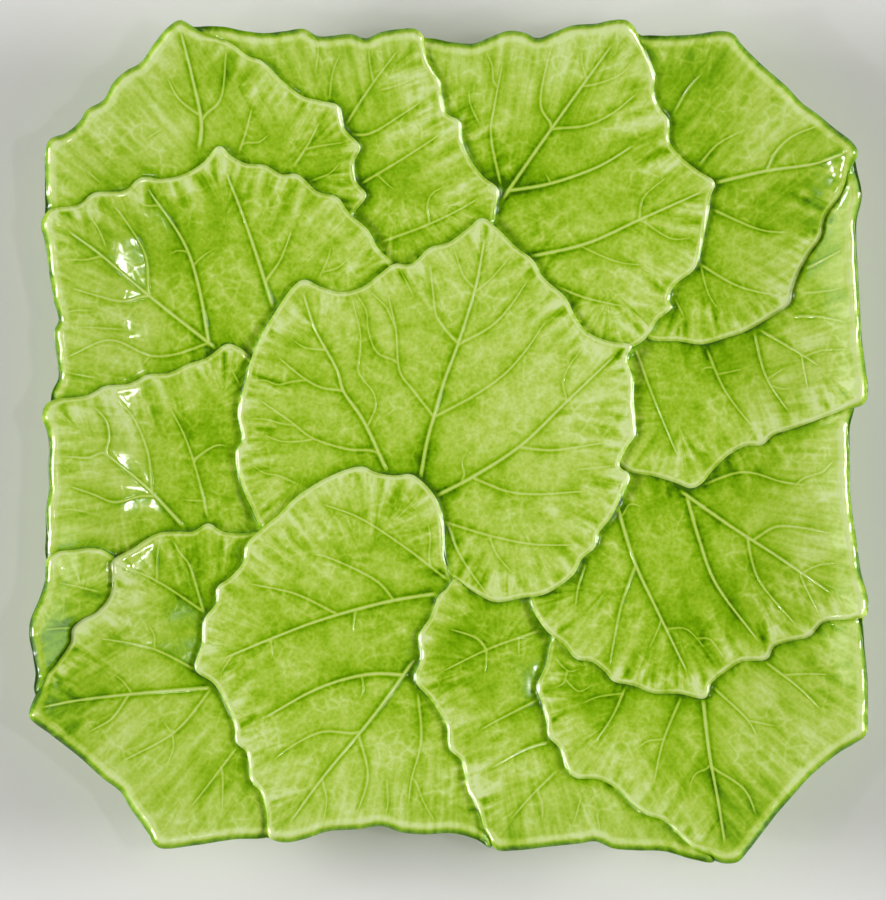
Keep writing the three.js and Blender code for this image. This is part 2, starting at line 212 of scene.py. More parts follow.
# Each leaf: the leaves that lie over it, its outline as seen from above, which is simply closed below
# those leaves, its veins from base to tip, and the places where its glaze lies thick or, below 0, thin:
# where, how far round and by how much
LEAVES = (
    dict(
        name="centre_leaf",
        under=("front_left_leaf",),
        outline=(
            (8.25, 56.5), (12, 54), (16.5, 49.5), (21, 46), (23.5, 41.75), (29.25, 36.5), (31.25, 32.5),
            (34.25, 28.25), (39.5, 25.75), (45.75, 24.5), (44.5, 21.5), (46, 16.25), (46, 11.75),
            (46.5, 5), (46.5, 2), (44, -2), (42.75, -5.75), (45, -7.75), (43.5, -12.25), (40.5, -18.5),
            (37.5, -22.5), (36.5, -26), (33.25, -29), (31.25, -32.75), (24, -37.75), (18, -38.75),
            (11.75, -39.75), (6.75, -37.75), (2.75, -35.25), (-0.5, -33), (-14, -24), (-34, -23),
            (-46.75, -21), (-49.5, -16), (-52, -10.25), (-53.25, -2), (-51.75, 1), (-52.75, 7.75),
            (-51, 15.75), (-49.5, 21.5), (-44.5, 31.5), (-36.75, 41), (-32, 39.25), (-27, 38),
            (-21.75, 39.25), (-18.25, 41.75), (-13.75, 45), (-9.5, 45), (-5, 49), (0, 50.5), (4.75, 54),
        ),
        veins=(
            (MAIN, ((-7, -7.75), (-5.5, 0.5), (-3.5, 7.75), (-1.5, 14.75), (2.25, 25), (6.75, 39.75),
                (9, 52))),
            (MAIN, ((-16, -6), (-21.5, 5.75), (-26.5, 13.25), (-28, 18.25), (-33.5, 28.5),
                (-36.75, 38.25))),
            (MAIN, ((-2.5, -12.75), (5.75, -8.5), (18, -0.5), (29.25, 10.25), (41.75, 22.25))),
            (SIDE, ((0, -20), (10.75, -23.25), (21, -25.25), (31.75, -25.5))),
            (SIDE, ((0.25, -21.5), (2.25, -27), (4.75, -31.25), (9.75, -38.25))),
            (SIDE, ((-4.5, 7.5), (-9, 13.25), (-12.25, 17.75), (-13.25, 28), (-15.25, 37.25))),
            (SIDE, ((-2, 7.5), (6.75, 12.25), (13.75, 17.25), (19, 23), (24.5, 31))),
            (SIDE, ((1.75, 25.5), (-3, 31.5), (-4, 37.75), (-4.75, 45))),
            (SIDE, ((3.25, 25.25), (10.75, 29.5), (16, 35.25), (19.5, 40.75))),
            (FINE, ((6, 39.25), (3.75, 41.75), (1, 49.5))),
            (FINE, ((8.25, 39.25), (11.75, 42.5), (16, 48))),
            (SIDE, ((-27, 13.25), (-32, 14), (-36.25, 16.25), (-43.25, 22))),
            (SIDE, ((-19.75, -1.75), (-25, -1.5), (-34.5, 1.5), (-39.75, 5.5), (-48, 11.25))),
            (FINE, ((-34.5, 1), (-41.75, 0.5), (-47, 2.5))),
            (FINE, ((-20.25, 4.75), (-18.5, 8.75), (-18.75, 12.25), (-22.25, 16.75))),
            (FINE, ((-13.75, 20.75), (-18, 22.75), (-20.25, 28.5), (-20.75, 33.25), (-24.25, 38.75))),
            (FINE, ((-22.75, 18.25), (-22.25, 23), (-22.25, 28), (-23.5, 33), (-24.5, 37.5))),
            (FINE, ((-13.5, 29), (-15.75, 34), (-20.25, 38.5))),
            (FINE, ((-9.5, 38), (-11, 41), (-12.5, 44))),
            (FINE, ((-39, 15.5), (-43, 14.75), (-46, 15.75), (-51, 15.75))),
            (FINE, ((-38.5, 4.5), (-42, 5), (-46, 6), (-50.5, 6.25))),
            (FINE, ((-39, -9.75), (-43, -8), (-46, -7.5), (-50, -5))),
            (FINE, ((-32, 23.5), (-36, 24), (-40, 26.5))),
            (FINE, ((33, -6.5), (38, -6), (42, -5.5))),
            (SIDE, ((5.75, -8.5), (14.5, -12), (21, -12.75), (34.25, -12))),
            (SIDE, ((18, -0.75), (25.5, -1.75), (31.75, -1), (39.5, 0.25))),
            (FINE, ((29.25, 11.25), (28.5, 15.25), (29.75, 18.75), (34.25, 25))),
            (FINE, ((3.75, -7.75), (3.25, -5), (4.25, -2))),
            (FINE, ((10.5, -23.5), (11.75, -27.5), (16.5, -33.25))),
        ),
        pools=(
            (-7, -5, 8, 0.3), (34, 6, 16, -0.2), (15, -28, 10, -0.12), (0, 36, 12, -0.1),
            (-30, 13, 12, 0.08), (10, 24, 14, -0.15), (-28, -6, 10, 0.12), (24, -10, 9, -0.08),
        ),
    ),
    dict(
        name="corner_leaf_back_left",
        under=("left_rim_leaf_back",),
        outline=(
            (-99.75, 52), (-100.75, 60), (-100.75, 66), (-100.75, 72), (-99.5, 75.5), (-95.5, 77.25),
            (-92.25, 80), (-90.25, 83), (-86.25, 85.5), (-83.75, 89.75), (-80.5, 92.75), (-77, 94.75),
            (-73.5, 99.5), (-70, 103.5), (-67, 105.25), (-63.75, 103.75), (-59.25, 101.5), (-54.5, 99.75),
            (-50, 96.75), (-46.5, 95.5), (-42.25, 91.25), (-36.75, 87), (-32.25, 85.75), (-27.75, 84.5),
            (-26.25, 79), (-22.25, 74.25), (-23.75, 70.5), (-23.25, 65.75), (-20.75, 62.25),
            (-23.25, 58.5), (-27, 52), (-50, 53), (-75, 53),
        ),
        veins=(
            (MAIN, ((-62.5, 75), (-62, 80.25), (-64, 90.75), (-67, 103))),
            (SIDE, ((-60.75, 82.25), (-57.25, 85.75), (-55.5, 98.5))),
            (SIDE, ((-52.25, 74), (-51, 77.5), (-49, 84.75))),
            (FINE, ((-51, 75.25), (-47.5, 75.5), (-44.5, 78))),
            (SIDE, ((-38.25, 70.5), (-35.25, 75), (-32.25, 80.75))),
            (FINE, ((-33.75, 66.25), (-29.5, 68), (-27, 71))),
            (FINE, ((-35, 74), (-25.5, 75.5))),
            (SIDE, ((-64.25, 83.25), (-67.75, 86.25), (-70.5, 91.25))),
            (FINE, ((-74.5, 76.75), (-71, 79))),
            (FINE, ((-89.75, 67.25), (-86.25, 64.25))),
        ),
        pools=(
            (-58, 93, 7, 0.35), (-67, 78, 9, -0.28), (-35, 71, 9, 0.05), (-47, 84, 8, 0.12),
            (-88, 73, 8, 0.1),
        ),
    ),
    dict(
        name="back_left_leaf",
        under=("corner_leaf_back_left", "left_rim_leaf_back", "centre_leaf"),
        outline=(
            (-66, 95), (-65, 103), (-62, 103.75), (-56.25, 103.75), (-51, 102.75), (-46, 102.25),
            (-40.75, 102.75), (-36.25, 103.25), (-32.5, 101.5), (-24.5, 102), (-20.75, 101),
            (-16.75, 102.5), (-11.75, 103.25), (-8.5, 103.25), (-6.5, 101.75), (-6, 98.5), (-5.25, 95),
            (-2.25, 90.25), (-1.75, 86.5), (-0.75, 82.75), (2.75, 80.5), (3.25, 76), (5.75, 70.5),
            (8.75, 66.75), (12.25, 63.75), (11.75, 59.25), (11, 55), (5, 47), (-12, 38), (-27, 43),
            (-37, 57), (-45, 78),
        ),
        veins=(
            (SIDE, ((-25.25, 80.75), (-18.75, 90.25), (-12.25, 98.5))),
            (FINE, ((-19, 90.75), (-19.75, 95), (-20, 99.5))),
            (SIDE, ((-24, 77.5), (-20.25, 77.5), (-11.75, 82.25), (-6.5, 85.75))),
            (SIDE, ((-21, 65.75), (-13.75, 70), (-5, 75.5), (-1.5, 78))),
            (SIDE, ((-15.75, 51), (-5.5, 54.75), (3.75, 59.25), (7.75, 61.75))),
            (FINE, ((-5, 55.5), (-5.5, 58.75), (-4.5, 62.25), (-0.5, 64.75))),
            (FINE, ((-29.75, 87.25), (-29, 92.5), (-27, 97.5))),
            (FINE, ((-16.25, 88.5), (-11.75, 89.75), (-7.5, 91.75))),
            (FINE, ((-33.25, 94), (-32.75, 99.5), (-35.25, 102.75))),
            (FINE, ((-17.5, 67.5), (-15.5, 65), (-13, 63))),
        ),
        pools=((-11, 54, 7, 0.05), (-16, 64, 9, 0.05), (-10, 97, 8, -0.08)),
    ),
    dict(
        name="left_rim_leaf_back",
        under=("left_rim_leaf_middle", "centre_leaf"),
        outline=(
            (-98, 5), (-99.25, 12), (-97.5, 16.25), (-98, 21.5), (-98.5, 28), (-97.5, 30.5),
            (-98.75, 35.75), (-99.75, 42), (-100.75, 49.5), (-101.75, 54.75), (-99.75, 58),
            (-92.75, 59.5), (-88.75, 62.5), (-81.25, 63.25), (-77, 66.5), (-72, 66.25), (-66.25, 67.5),
            (-61.5, 70.5), (-57.5, 74.5), (-54.5, 72), (-51, 70.25), (-46, 69.75), (-42, 67.5),
            (-38, 67.5), (-33, 63.25), (-28, 61.75), (-25, 57.75), (-20.25, 53.5), (-17.75, 49),
            (-14, 45), (-12, 36), (-30, 28), (-48, 13), (-74, 8),
        ),
        veins=(
            (MAIN, ((-59.25, 24.5), (-75.5, 37.25), (-87.75, 47.5), (-95.5, 53))),
            (MAIN, ((-60.25, 25.5), (-62.75, 39.5), (-66.25, 50), (-75.5, 63.75))),
            (MAIN, ((-44.5, 35.25), (-48.5, 48), (-53, 60.75), (-56.25, 68.5))),
            (SIDE, ((-45.5, 41.25), (-42.25, 46), (-39.25, 54))),
            (SIDE, ((-75.25, 38.25), (-76, 47), (-81.75, 56.75), (-84.25, 59.75))),
            (FINE, ((-86.25, 50), (-87.75, 53.5), (-90.25, 57.25))),
            (SIDE, ((-76.5, 36.75), (-81.75, 35.5), (-87.75, 36.75), (-95, 38.75))),
            (FINE, ((-87.75, 46.5), (-90.75, 45.75), (-96, 45.75))),
            (SIDE, ((-60.25, 25), (-69, 22.25), (-75, 22), (-84.75, 25.75), (-96, 21))),
            (FINE, ((-75, 22), (-77.5, 18.75))),
            (FINE, ((-32, 42.75), (-30.25, 46.5), (-29.5, 50))),
            (FINE, ((-32, 42.75), (-28, 44), (-25, 46.5))),
            (FINE, ((-64, 45), (-61.5, 47), (-58.5, 49))),
            (FINE, ((-65.75, 48.5), (-68, 48.25), (-70.5, 47))),
            (FINE, ((-73, 59.5), (-76, 59.5), (-79, 62))),
            (FINE, ((-82.5, 28.5), (-88, 28.75), (-93, 29))),
            (FINE, ((-90, 33), (-93.5, 33), (-96.5, 32))),
            (FINE, ((-89.5, 16.5), (-93, 17), (-97, 18))),
        ),
        pools=(
            (-71, 49, 9, 0.25), (-80, 32, 11, -0.22), (-60, 55, 8, 0.15), (-50, 64, 7, 0.18),
            (-47, 38, 6, -0.12), (-78, 58, 7, 0.1),
        ),
    ),
    dict(
        name="left_rim_leaf_middle",
        under=("centre_leaf", "corner_leaf_front_left", "left_rim_leaf_front", "front_left_leaf"),
        outline=(
            (-100, -30), (-100.5, -22), (-100.5, -16.75), (-99.75, -11.25), (-100, -6.25), (-99.75, -1.5),
            (-100.25, 2.5), (-101.5, 6.5), (-100, 10), (-90.25, 12), (-86.25, 14.25), (-80, 15),
            (-75.5, 17.25), (-70, 17.75), (-65.25, 20), (-60.75, 21.5), (-55.5, 25), (-52.5, 24),
            (-49.5, 21.5), (-44, 11), (-43, -9), (-45, -26), (-62, -30), (-82, -37), (-92, -34),
        ),
        veins=(
            (MAIN, ((-67.25, -20), (-75.5, -11.25), (-86, -2.5))),
            (SIDE, ((-86.75, -2.5), (-90.25, -3.75), (-96, -3.5))),
            (SIDE, ((-85.75, -2), (-85, 1.5), (-85.75, 5.5), (-89.25, 9.5))),
            (SIDE, ((-60.75, -17.25), (-63, -7.75), (-66.25, 2), (-70.25, 9.5))),
            (SIDE, ((-63.5, -4), (-58.25, -0.5), (-55, -0.75))),
            (SIDE, ((-74.5, -10.5), (-75.25, -3), (-78.5, 5.5), (-82.75, 11.25))),
            (SIDE, ((-77, -13.25), (-83.75, -14.75), (-89.25, -12.75), (-95.5, -10.75))),
            (FINE, ((-53, 15.75), (-55, 19.5))),
            (FINE, ((-61.75, -14), (-65, -14.25), (-67.5, -14))),
            (FINE, ((-91.5, -17.25), (-94, -16.75), (-97.5, -17))),
        ),
        pools=((-63, 2, 8, 0.08), (-84, -2, 12, -0.15), (-98, -5, 6, 0.15)),
    ),
    dict(
        name="left_rim_leaf_front",
        under=("corner_leaf_front_left",),
        outline=(
            (-101, -66), (-103.25, -62), (-103, -57.75), (-103.75, -52.5), (-104.5, -48.25),
            (-104.25, -44.5), (-102, -38.75), (-100.75, -34.5), (-100.25, -29), (-97.5, -27.25),
            (-93.5, -26.75), (-89.75, -26.25), (-86, -27), (-81, -32), (-84, -50), (-94, -63),
        ),
        veins=(
            (FINE, ((-93, -46.25), (-98, -46.5), (-101.5, -47))),
            (FINE, ((-88.5, -37), (-93, -36), (-98, -35))),
        ),
        pools=((-101, -50, 8, 0.45), (-93, -40, 7, 0.12)),
    ),
    dict(
        name="corner_leaf_front_left",
        under=("front_left_leaf",),
        outline=(
            (-84.25, -29.5), (-79.5, -26.5), (-73, -22.5), (-68.25, -22), (-64.25, -22), (-60.25, -20),
            (-56.75, -22), (-52, -22.5), (-47, -22.25), (-40, -29), (-37, -64), (-40, -94),
            (-44.5, -98.25), (-53.5, -99), (-63.25, -100.5), (-71.5, -101.25), (-73.25, -100.25),
            (-75.5, -96.5), (-79.5, -91), (-81.75, -87.25), (-86.25, -83.75), (-91.75, -78.75),
            (-99, -73), (-104.25, -68.75), (-104.25, -66.75), (-103, -63.25), (-101, -59.25),
            (-97.5, -54.75), (-94.5, -50), (-94, -46.5), (-91.75, -44.25), (-87.75, -42), (-84.5, -37.25),
            (-84.5, -33),
        ),
        veins=(
            (MAIN, ((-60.75, -61.25), (-76.5, -62.5), (-93.25, -64.5), (-101.75, -66.25))),
            (FINE, ((-79.5, -62.5), (-81.75, -59.25), (-84.25, -57.5))),
            (SIDE, ((-80.5, -63.75), (-84.25, -69), (-90.25, -72.5))),
            (SIDE, ((-60.25, -62.25), (-68.25, -72), (-81.75, -79.75))),
            (FINE, ((-69, -72), (-68.75, -76), (-70.5, -80.75))),
            (FINE, ((-69.5, -72), (-71.5, -69))),
            (SIDE, ((-53.75, -77), (-60.25, -85.75), (-64.75, -91.5))),
            (FINE, ((-56.5, -83.25), (-56.5, -92.5))),
            (SIDE, ((-64.25, -56.25), (-74.5, -51.25), (-87.75, -48.75))),
            (FINE, ((-73.5, -51.5), (-73.75, -48), (-75.5, -45))),
            (SIDE, ((-62, -41.75), (-73.5, -34.25), (-81.75, -30.75))),
            (SIDE, ((-62, -40.25), (-65.25, -30), (-67.25, -27.5), (-69.25, -24))),
            (FINE, ((-73.25, -34), (-73, -28), (-72.5, -24))),
        ),
        pools=(
            (-65, -28, 9, 0.25), (-99, -62, 7, 0.4), (-65, -39, 8, 0.12), (-80, -79, 10, -0.1),
            (-95, -72, 9, 0.45), (-91, -57, 7, 0.28), (-66, -48, 9, 0.22), (-69, -69, 9, -0.15),
        ),
    ),
    dict(
        name="front_left_leaf",
        under=("front_right_leaf",),
        outline=(
            (-61.75, -49.5), (-61.25, -44), (-58.25, -39.75), (-58, -36), (-54.5, -33.25), (-51.5, -29.5),
            (-50.5, -25), (-46.5, -21), (-42, -17.25), (-39, -14), (-30, -8.25), (-22, -5.75),
            (-18.25, -7.25), (-13.75, -8), (-9.5, -7.75), (-5.5, -10.75), (-2.5, -15.25), (-1.5, -20.5),
            (-1, -28), (0.75, -33.5), (2, -40), (3, -64), (9, -90), (10.5, -101), (6.75, -99), (1, -97.5),
            (-6.5, -97.75), (-11.75, -97.25), (-16.75, -95.75), (-22.75, -96.5), (-30, -97),
            (-36.25, -99), (-41, -99.75), (-44.75, -98.5), (-45.5, -92), (-47, -87.25), (-49.5, -84.25),
            (-50.5, -77.5), (-53, -75), (-53.5, -71), (-55.5, -66), (-58.75, -60.25), (-63.5, -56.5),
        ),
        veins=(
            (MAIN, ((-4.25, -37.75), (-14.75, -39.5), (-32.25, -44.25), (-46, -49.5), (-56.75, -54))),
            (SIDE, ((-29.5, -42), (-38.25, -37.75), (-50.5, -35))),
            (SIDE, ((-14.25, -38.75), (-17.75, -34.75), (-30.5, -28.5), (-35, -27.5))),
            (FINE, ((-24, -42), (-24, -46), (-23.75, -48.5))),
            (SIDE, ((0, -34.5), (-11.75, -25.5), (-22.75, -18.5), (-32.25, -15))),
            (FINE, ((-5, -29), (-4.75, -23), (-5.5, -19.5))),
            (MAIN, ((-9.5, -55.25), (-18.75, -68), (-32, -84.25), (-39.75, -95))),
            (SIDE, ((-24, -72.5), (-32, -72.25), (-41.5, -77.25), (-44, -79.5))),
            (SIDE, ((-22.75, -73), (-20.25, -83.25), (-23.25, -93.5))),
            (FINE, ((-31.5, -84.75), (-30.5, -88.75), (-31.25, -94.5))),
            (MAIN, ((-11.75, -58), (-19.75, -57.75), (-32, -61), (-46.75, -69))),
            (SIDE, ((-7.75, -63.75), (-7, -74.5), (-9.5, -84.75), (-10, -90.25))),
            (FINE, ((-8, -85.25), (-6.5, -89.25), (-3, -95.5))),
            (FINE, ((-15.5, -85), (-15.25, -90), (-16, -94))),
            (FINE, ((-44.5, -49), (-44.25, -52), (-44.5, -54.5))),
            (FINE, ((-54.5, -53.5), (-56.5, -56.5), (-57.5, -58.5))),
            (FINE, ((-21.75, -58), (-21.5, -61), (-22.25, -64.5))),
        ),
        pools=(
            (-26, -77, 16, -0.1), (-2, -49, 9, 0.15), (-18, -45, 10, 0.22), (-9, -27, 7, 0.22),
            (-46, -36, 10, 0.12), (-5, -78, 7, -0.15), (-25, -62, 6, 0.1),
        ),
    ),
    dict(
        name="front_right_leaf",
        under=("centre_leaf", "right_rim_leaf_front", "corner_leaf_front_right"),
        outline=(
            (2.5, -33), (0.25, -34), (-1, -36), (-3, -38.5), (-4.5, -43), (-7.5, -48), (-7, -53.25),
            (-8.5, -59.25), (-4.5, -64.25), (-0.5, -71), (0.25, -76.5), (3.25, -79.75), (4.75, -86.75),
            (7.25, -91.5), (9.25, -97.5), (11.75, -101.5), (16.5, -101.75), (25.5, -100.75),
            (32.75, -100), (36.5, -99.5), (41, -101.25), (47, -101.75), (53.75, -102), (61, -104),
            (66, -104.5), (63, -97), (48, -84), (36, -64), (33, -47), (23, -34), (10, -31),
        ),
        veins=(
            (SIDE, ((21.5, -47.25), (9.75, -51.5), (-2, -57.25))),
            (SIDE, ((9.25, -51.5), (7.25, -49), (-0.5, -46.25))),
            (FINE, ((9.25, -51.5), (9.25, -54.75), (8.75, -58.25))),
            (FINE, ((17.25, -49), (17.5, -53.75))),
            (SIDE, ((21, -64.75), (11.75, -69.5), (7.25, -72))),
            (SIDE, ((24, -75), (19, -76.5), (9.75, -81.75))),
            (SIDE, ((26, -82.75), (20, -88.75), (15.5, -94))),
            (FINE, ((22, -86.75), (23.25, -90.25), (23.25, -95))),
            (FINE, ((32.75, -89.25), (31.75, -93), (30.75, -96))),
            (FINE, ((37, -93), (37.75, -98))),
        ),
        pools=(
            (3, -47, 11, 0.25), (36, -90, 9, -0.12), (18, -77, 13, -0.12), (14, -99, 6, 0.2),
            (2, -60, 8, 0.15), (28, -57, 8, 0.12),
        ),
    ),
    dict(
        name="corner_leaf_front_right",
        under=("right_rim_leaf_front",),
        outline=(
            (27, -46), (25.25, -50), (24, -55.75), (22, -60.75), (23.5, -66), (24.5, -70), (25, -73.5),
            (27.75, -76.5), (29.5, -81.5), (31.75, -83.75), (37, -84), (41.5, -86.25), (45, -89.75),
            (49.25, -93), (53.75, -94.5), (57.75, -98.5), (62, -102), (66, -104.25), (69, -105),
            (72, -104.5), (74.75, -101.5), (78.25, -97), (81.75, -92.5), (85.25, -88.5), (89, -84.25),
            (92.5, -81), (97, -77.5), (100.75, -75.25), (103.75, -73), (104.25, -67), (104.25, -59.25),
            (103.5, -51), (103, -44.5), (101, -38), (68, -52), (43, -48),
        ),
        veins=(
            (MAIN, ((63.5, -64.25), (65, -77.5), (67.25, -90.25), (68.75, -100.5))),
            (SIDE, ((65.75, -81), (73.75, -86.75), (76.75, -93.5))),
            (FINE, ((64.5, -81.25), (61.5, -82.75), (59.75, -86.75))),
            (SIDE, ((67, -62), (74.75, -69.5), (77.25, -74))),
            (FINE, ((75.25, -69.5), (82.75, -71))),
            (SIDE, ((79.75, -55.25), (88, -61.75), (93, -67))),
            (FINE, ((84.25, -58), (89.5, -57.75), (95.5, -58))),
            (SIDE, ((57.5, -64.75), (53.5, -74.5), (51, -85.25))),
            (FINE, ((53.25, -74), (49.75, -74.5), (46.5, -76.5))),
            (SIDE, ((43.5, -62.25), (41, -68), (36, -75.5))),
            (FINE, ((43, -62.75), (37, -63.5), (32.75, -65.25))),
            (FINE, ((27, -54), (30, -57), (33.5, -56))),
            (FINE, ((29.75, -56.75), (28.5, -60), (25.75, -61.5))),
            (FINE, ((28.75, -59.75), (32.5, -62), (36.5, -60))),
        ),
        pools=(
            (75, -69, 14, -0.12), (72, -95, 10, 0.48), (59, -82, 7, 0.25), (38, -62, 9, 0.18),
            (95, -57, 8, 0.22),
        ),
    ),
    dict(
        name="right_rim_leaf_front",
        under=("centre_leaf", "right_rim_leaf_back"),
        outline=(
            (100.75, 10), (100, 3.5), (100, -5), (100.25, -14.25), (101.75, -25.5), (102.75, -32.75),
            (104, -37.25), (104.5, -40.5), (103.75, -43.5), (99.75, -44.25), (93.5, -45), (90, -48.5),
            (85.75, -49.5), (81.25, -51), (79.5, -54), (73, -54.75), (69, -57.25), (65.5, -60.25),
            (64, -63.75), (57.75, -62.75), (50.75, -62.5), (46.5, -60.75), (41, -59.5), (39, -57.25),
            (35.75, -54.75), (31.75, -54), (28.75, -50.5), (24, -46.5), (20, -38.5), (22, -30), (38, -9),
            (60, -2), (88, 11),
        ),
        veins=(
            (MAIN, ((58.75, -12.5), (70, -20.5), (82.25, -28.5), (95.5, -37.75))),
            (SIDE, ((76.5, -24.5), (81.75, -21), (88, -21.25), (95.5, -22.75))),
            (FINE, ((88, -32.5), (92, -30.75), (97, -30))),
            (SIDE, ((64, -10.25), (73.75, -7.25), (83.25, -9.75), (89.5, -10.75))),
            (FINE, ((89, -8.75), (93.5, -7.25), (96.5, -4))),
            (MAIN, ((59.75, -14.25), (62.5, -24), (66.5, -34.75), (77.25, -49.5))),
            (MAIN, ((42.25, -16.25), (46.5, -30), (51.25, -40.25), (59.75, -57.75))),
            (SIDE, ((46, -32.25), (43, -40.75), (40, -55.75))),
            (FINE, ((54.25, -46.5), (59.25, -46.5), (64.5, -52))),
            (FINE, ((52.25, -46.5), (49.75, -52))),
            (SIDE, ((74.75, -24.25), (77.25, -33.75), (87, -46))),
            (FINE, ((88, -33.5), (93, -44))),
            (SIDE, ((33.75, -31.25), (32.25, -36.25), (31.5, -41.5))),
            (FINE, ((65, -49), (67.5, -52), (69.5, -55))),
            (FINE, ((43.25, -18), (45.25, -15.25), (48.5, -16))),
        ),
        pools=(
            (53, -13, 9, 0.22), (71, -9, 9, 0.2), (62, -40, 12, 0.2), (53, -58, 7, 0.2),
            (92, -15, 14, -0.15), (70, -47, 8, 0.18), (83, -43, 7, 0.18), (28, -44, 8, 0.12),
            (61, -27, 6, -0.12),
        ),
    ),
    dict(
        name="right_rim_leaf_back",
        under=("centre_leaf", "back_right_leaf", "corner_leaf_back_right"),
        outline=(
            (100, 73), (102, 67), (103, 61.25), (101.75, 55.25), (101.75, 49), (102.25, 39.25),
            (102.75, 30.75), (103, 25.75), (104, 17.75), (104.5, 12.75), (103.5, 9.5), (98, 7.75),
            (90.5, 5), (85.25, 3.25), (81.25, 2), (78.25, -0.5), (74.25, -0.75), (70, -3), (66, -6.75),
            (63, -10.25), (60.5, -11.25), (56.25, -9.75), (51.25, -8.25), (44, -6.5), (40, 1), (41, 21),
            (47, 33), (73, 36), (88, 53),
        ),
        veins=(
            (SIDE, ((46.75, 23.25), (51.25, 11.25), (57.75, -4.5))),
            (SIDE, ((65, 22.5), (69, 13.25), (76.25, 3.5))),
            (FINE, ((67.5, 16.75), (71, 18), (74.25, 18.75))),
            (SIDE, ((76.75, 26.5), (79.25, 16.75), (85.25, 7.25))),
            (SIDE, ((78.75, 27.75), (89, 21.5), (93, 18.75))),
            (FINE, ((89.5, 21.75), (93.5, 23), (100.75, 23))),
            (SIDE, ((87, 31.5), (92, 31.5), (99.75, 29.75))),
            (SIDE, ((90.5, 44), (95, 46.25), (99.25, 48.5))),
            (FINE, ((89.5, 37.5), (94.5, 37.75), (99.5, 38.75))),
            (FINE, ((66.5, 19), (64.5, 19), (62.5, 18))),
            (FINE, ((79.5, 15.5), (82, 17.5), (84.5, 19))),
            (FINE, ((80.5, 14.5), (83.5, 13.5), (86.5, 14))),
            (FINE, ((88.5, 21.5), (89, 17), (90, 12))),
        ),
        pools=(
            (68, 23, 10, 0.3), (51, 17, 8, 0.05), (87, 25, 12, -0.14), (94, 17, 12, -0.1),
            (87, 5, 7, -0.12),
        ),
    ),
    dict(
        name="corner_leaf_back_right",
        under=("back_right_leaf",),
        outline=(
            (45, 96), (47, 101), (54.75, 101.5), (61, 101.75), (68, 102.5), (71, 101.75), (73.25, 99),
            (78.25, 94), (84.25, 88.75), (88, 84.75), (92, 81.75), (96.5, 78), (100.75, 74.5), (102, 72),
            (99.75, 67), (97.5, 61.25), (94, 56.25), (93, 51.5), (90, 47), (87.5, 42.5), (86, 38.25),
            (85.25, 34.75), (80.5, 31.5), (74.25, 28), (69, 26.25), (63, 24.75), (57.75, 25.5),
            (49.5, 26.5), (47, 34), (55, 56), (47, 80),
        ),
        veins=(
            (MAIN, ((67, 65.25), (79.75, 68), (91.5, 69.5), (99.75, 72.25))),
            (SIDE, ((63.5, 70.5), (67, 74.5), (73.25, 78))),
            (SIDE, ((79.75, 68), (81.75, 72.5), (85.25, 76), (92.5, 79))),
            (SIDE, ((57, 83.75), (59.75, 88.25), (63.5, 92.5))),
            (SIDE, ((67.25, 58), (78.25, 53.25), (85.25, 52.5))),
            (SIDE, ((63.5, 44.5), (72.5, 39.25), (82.25, 36.75))),
            (FINE, ((63.25, 43.5), (65, 37.25), (67.75, 33))),
            (FINE, ((57, 35.25), (59.25, 30.75))),
        ),
        pools=(
            (62, 92, 9, 0.42), (90, 58, 9, 0.42), (75, 58, 9, 0.25), (87, 85, 9, -0.12), (97, 74, 6, 0.3),
            (68, 36, 9, 0.2), (84, 76, 6, -0.1), (64, 78, 6, 0.12),
        ),
    ),
    dict(
        name="back_right_leaf",
        under=("back_left_leaf", "centre_leaf"),
        outline=(
            (-9, 95), (-7.5, 100.5), (-4.75, 101), (1, 100), (6.25, 99.75), (9.75, 101), (15, 102.75),
            (19, 102.25), (22, 101), (26, 102.25), (30.75, 104), (37, 104.5), (40.5, 105.25),
            (44.25, 105.25), (46.25, 103.75), (47.75, 100.5), (49.75, 96), (51.5, 91.25), (51.25, 87.75),
            (53, 83.5), (55, 80.75), (55.25, 75.5), (57.75, 72), (62, 68.5), (66.5, 65.25), (65.5, 61.75),
            (64.5, 55.75), (63, 48.5), (61.5, 43.75), (56.25, 39.25), (55, 36), (55.75, 34),
            (52.25, 30.75), (50.25, 27.25), (45.75, 24), (38, 22), (23, 33), (10, 48), (5, 61), (-2, 78),
        ),
        veins=(
            (MAIN, ((13.75, 61.75), (20.5, 71.5), (32.25, 87.75), (41, 99.5))),
            (SIDE, ((25.5, 79.75), (23, 84.25), (24.5, 94.5), (25.75, 99))),
            (SIDE, ((26.75, 78.75), (34.25, 79.5), (40.5, 82.25), (47.5, 87.75))),
            (FINE, ((34.25, 91.25), (33.25, 95), (33.25, 98.5))),
            (FINE, ((37, 89.75), (42.5, 91.75), (46, 95))),
            (MAIN, ((15.5, 63.5), (25, 65), (37.75, 69.5), (46.5, 74.75))),
            (MAIN, ((21, 47), (34.25, 50), (48.25, 56.25), (64, 63.25))),
            (FINE, ((47.75, 56.25), (48.5, 61.25), (55.25, 67.25))),
            (FINE, ((48.25, 55.75), (55.75, 51.25), (61, 51.5))),
            (FINE, ((33.75, 49), (42, 45.5), (49.25, 44.5))),
            (SIDE, ((12.75, 65.75), (10.5, 77.5), (11.25, 83.75), (13.5, 95))),
            (FINE, ((11.25, 90.25), (10.75, 94.5), (8.75, 98.5))),
            (FINE, ((7.25, 80.75), (5.25, 85.25), (5, 89.25))),
            (SIDE, ((27.75, 39), (33.25, 36.75), (39, 35.25), (44, 34.25))),
            (FINE, ((25.75, 65), (24.5, 67), (23.5, 68.5))),
        ),
        pools=(
            (17, 68, 8, 0.28), (35, 96, 9, -0.1), (22, 57, 8, 0.15), (54, 68, 6, 0.2), (28, 76, 7, 0.12),
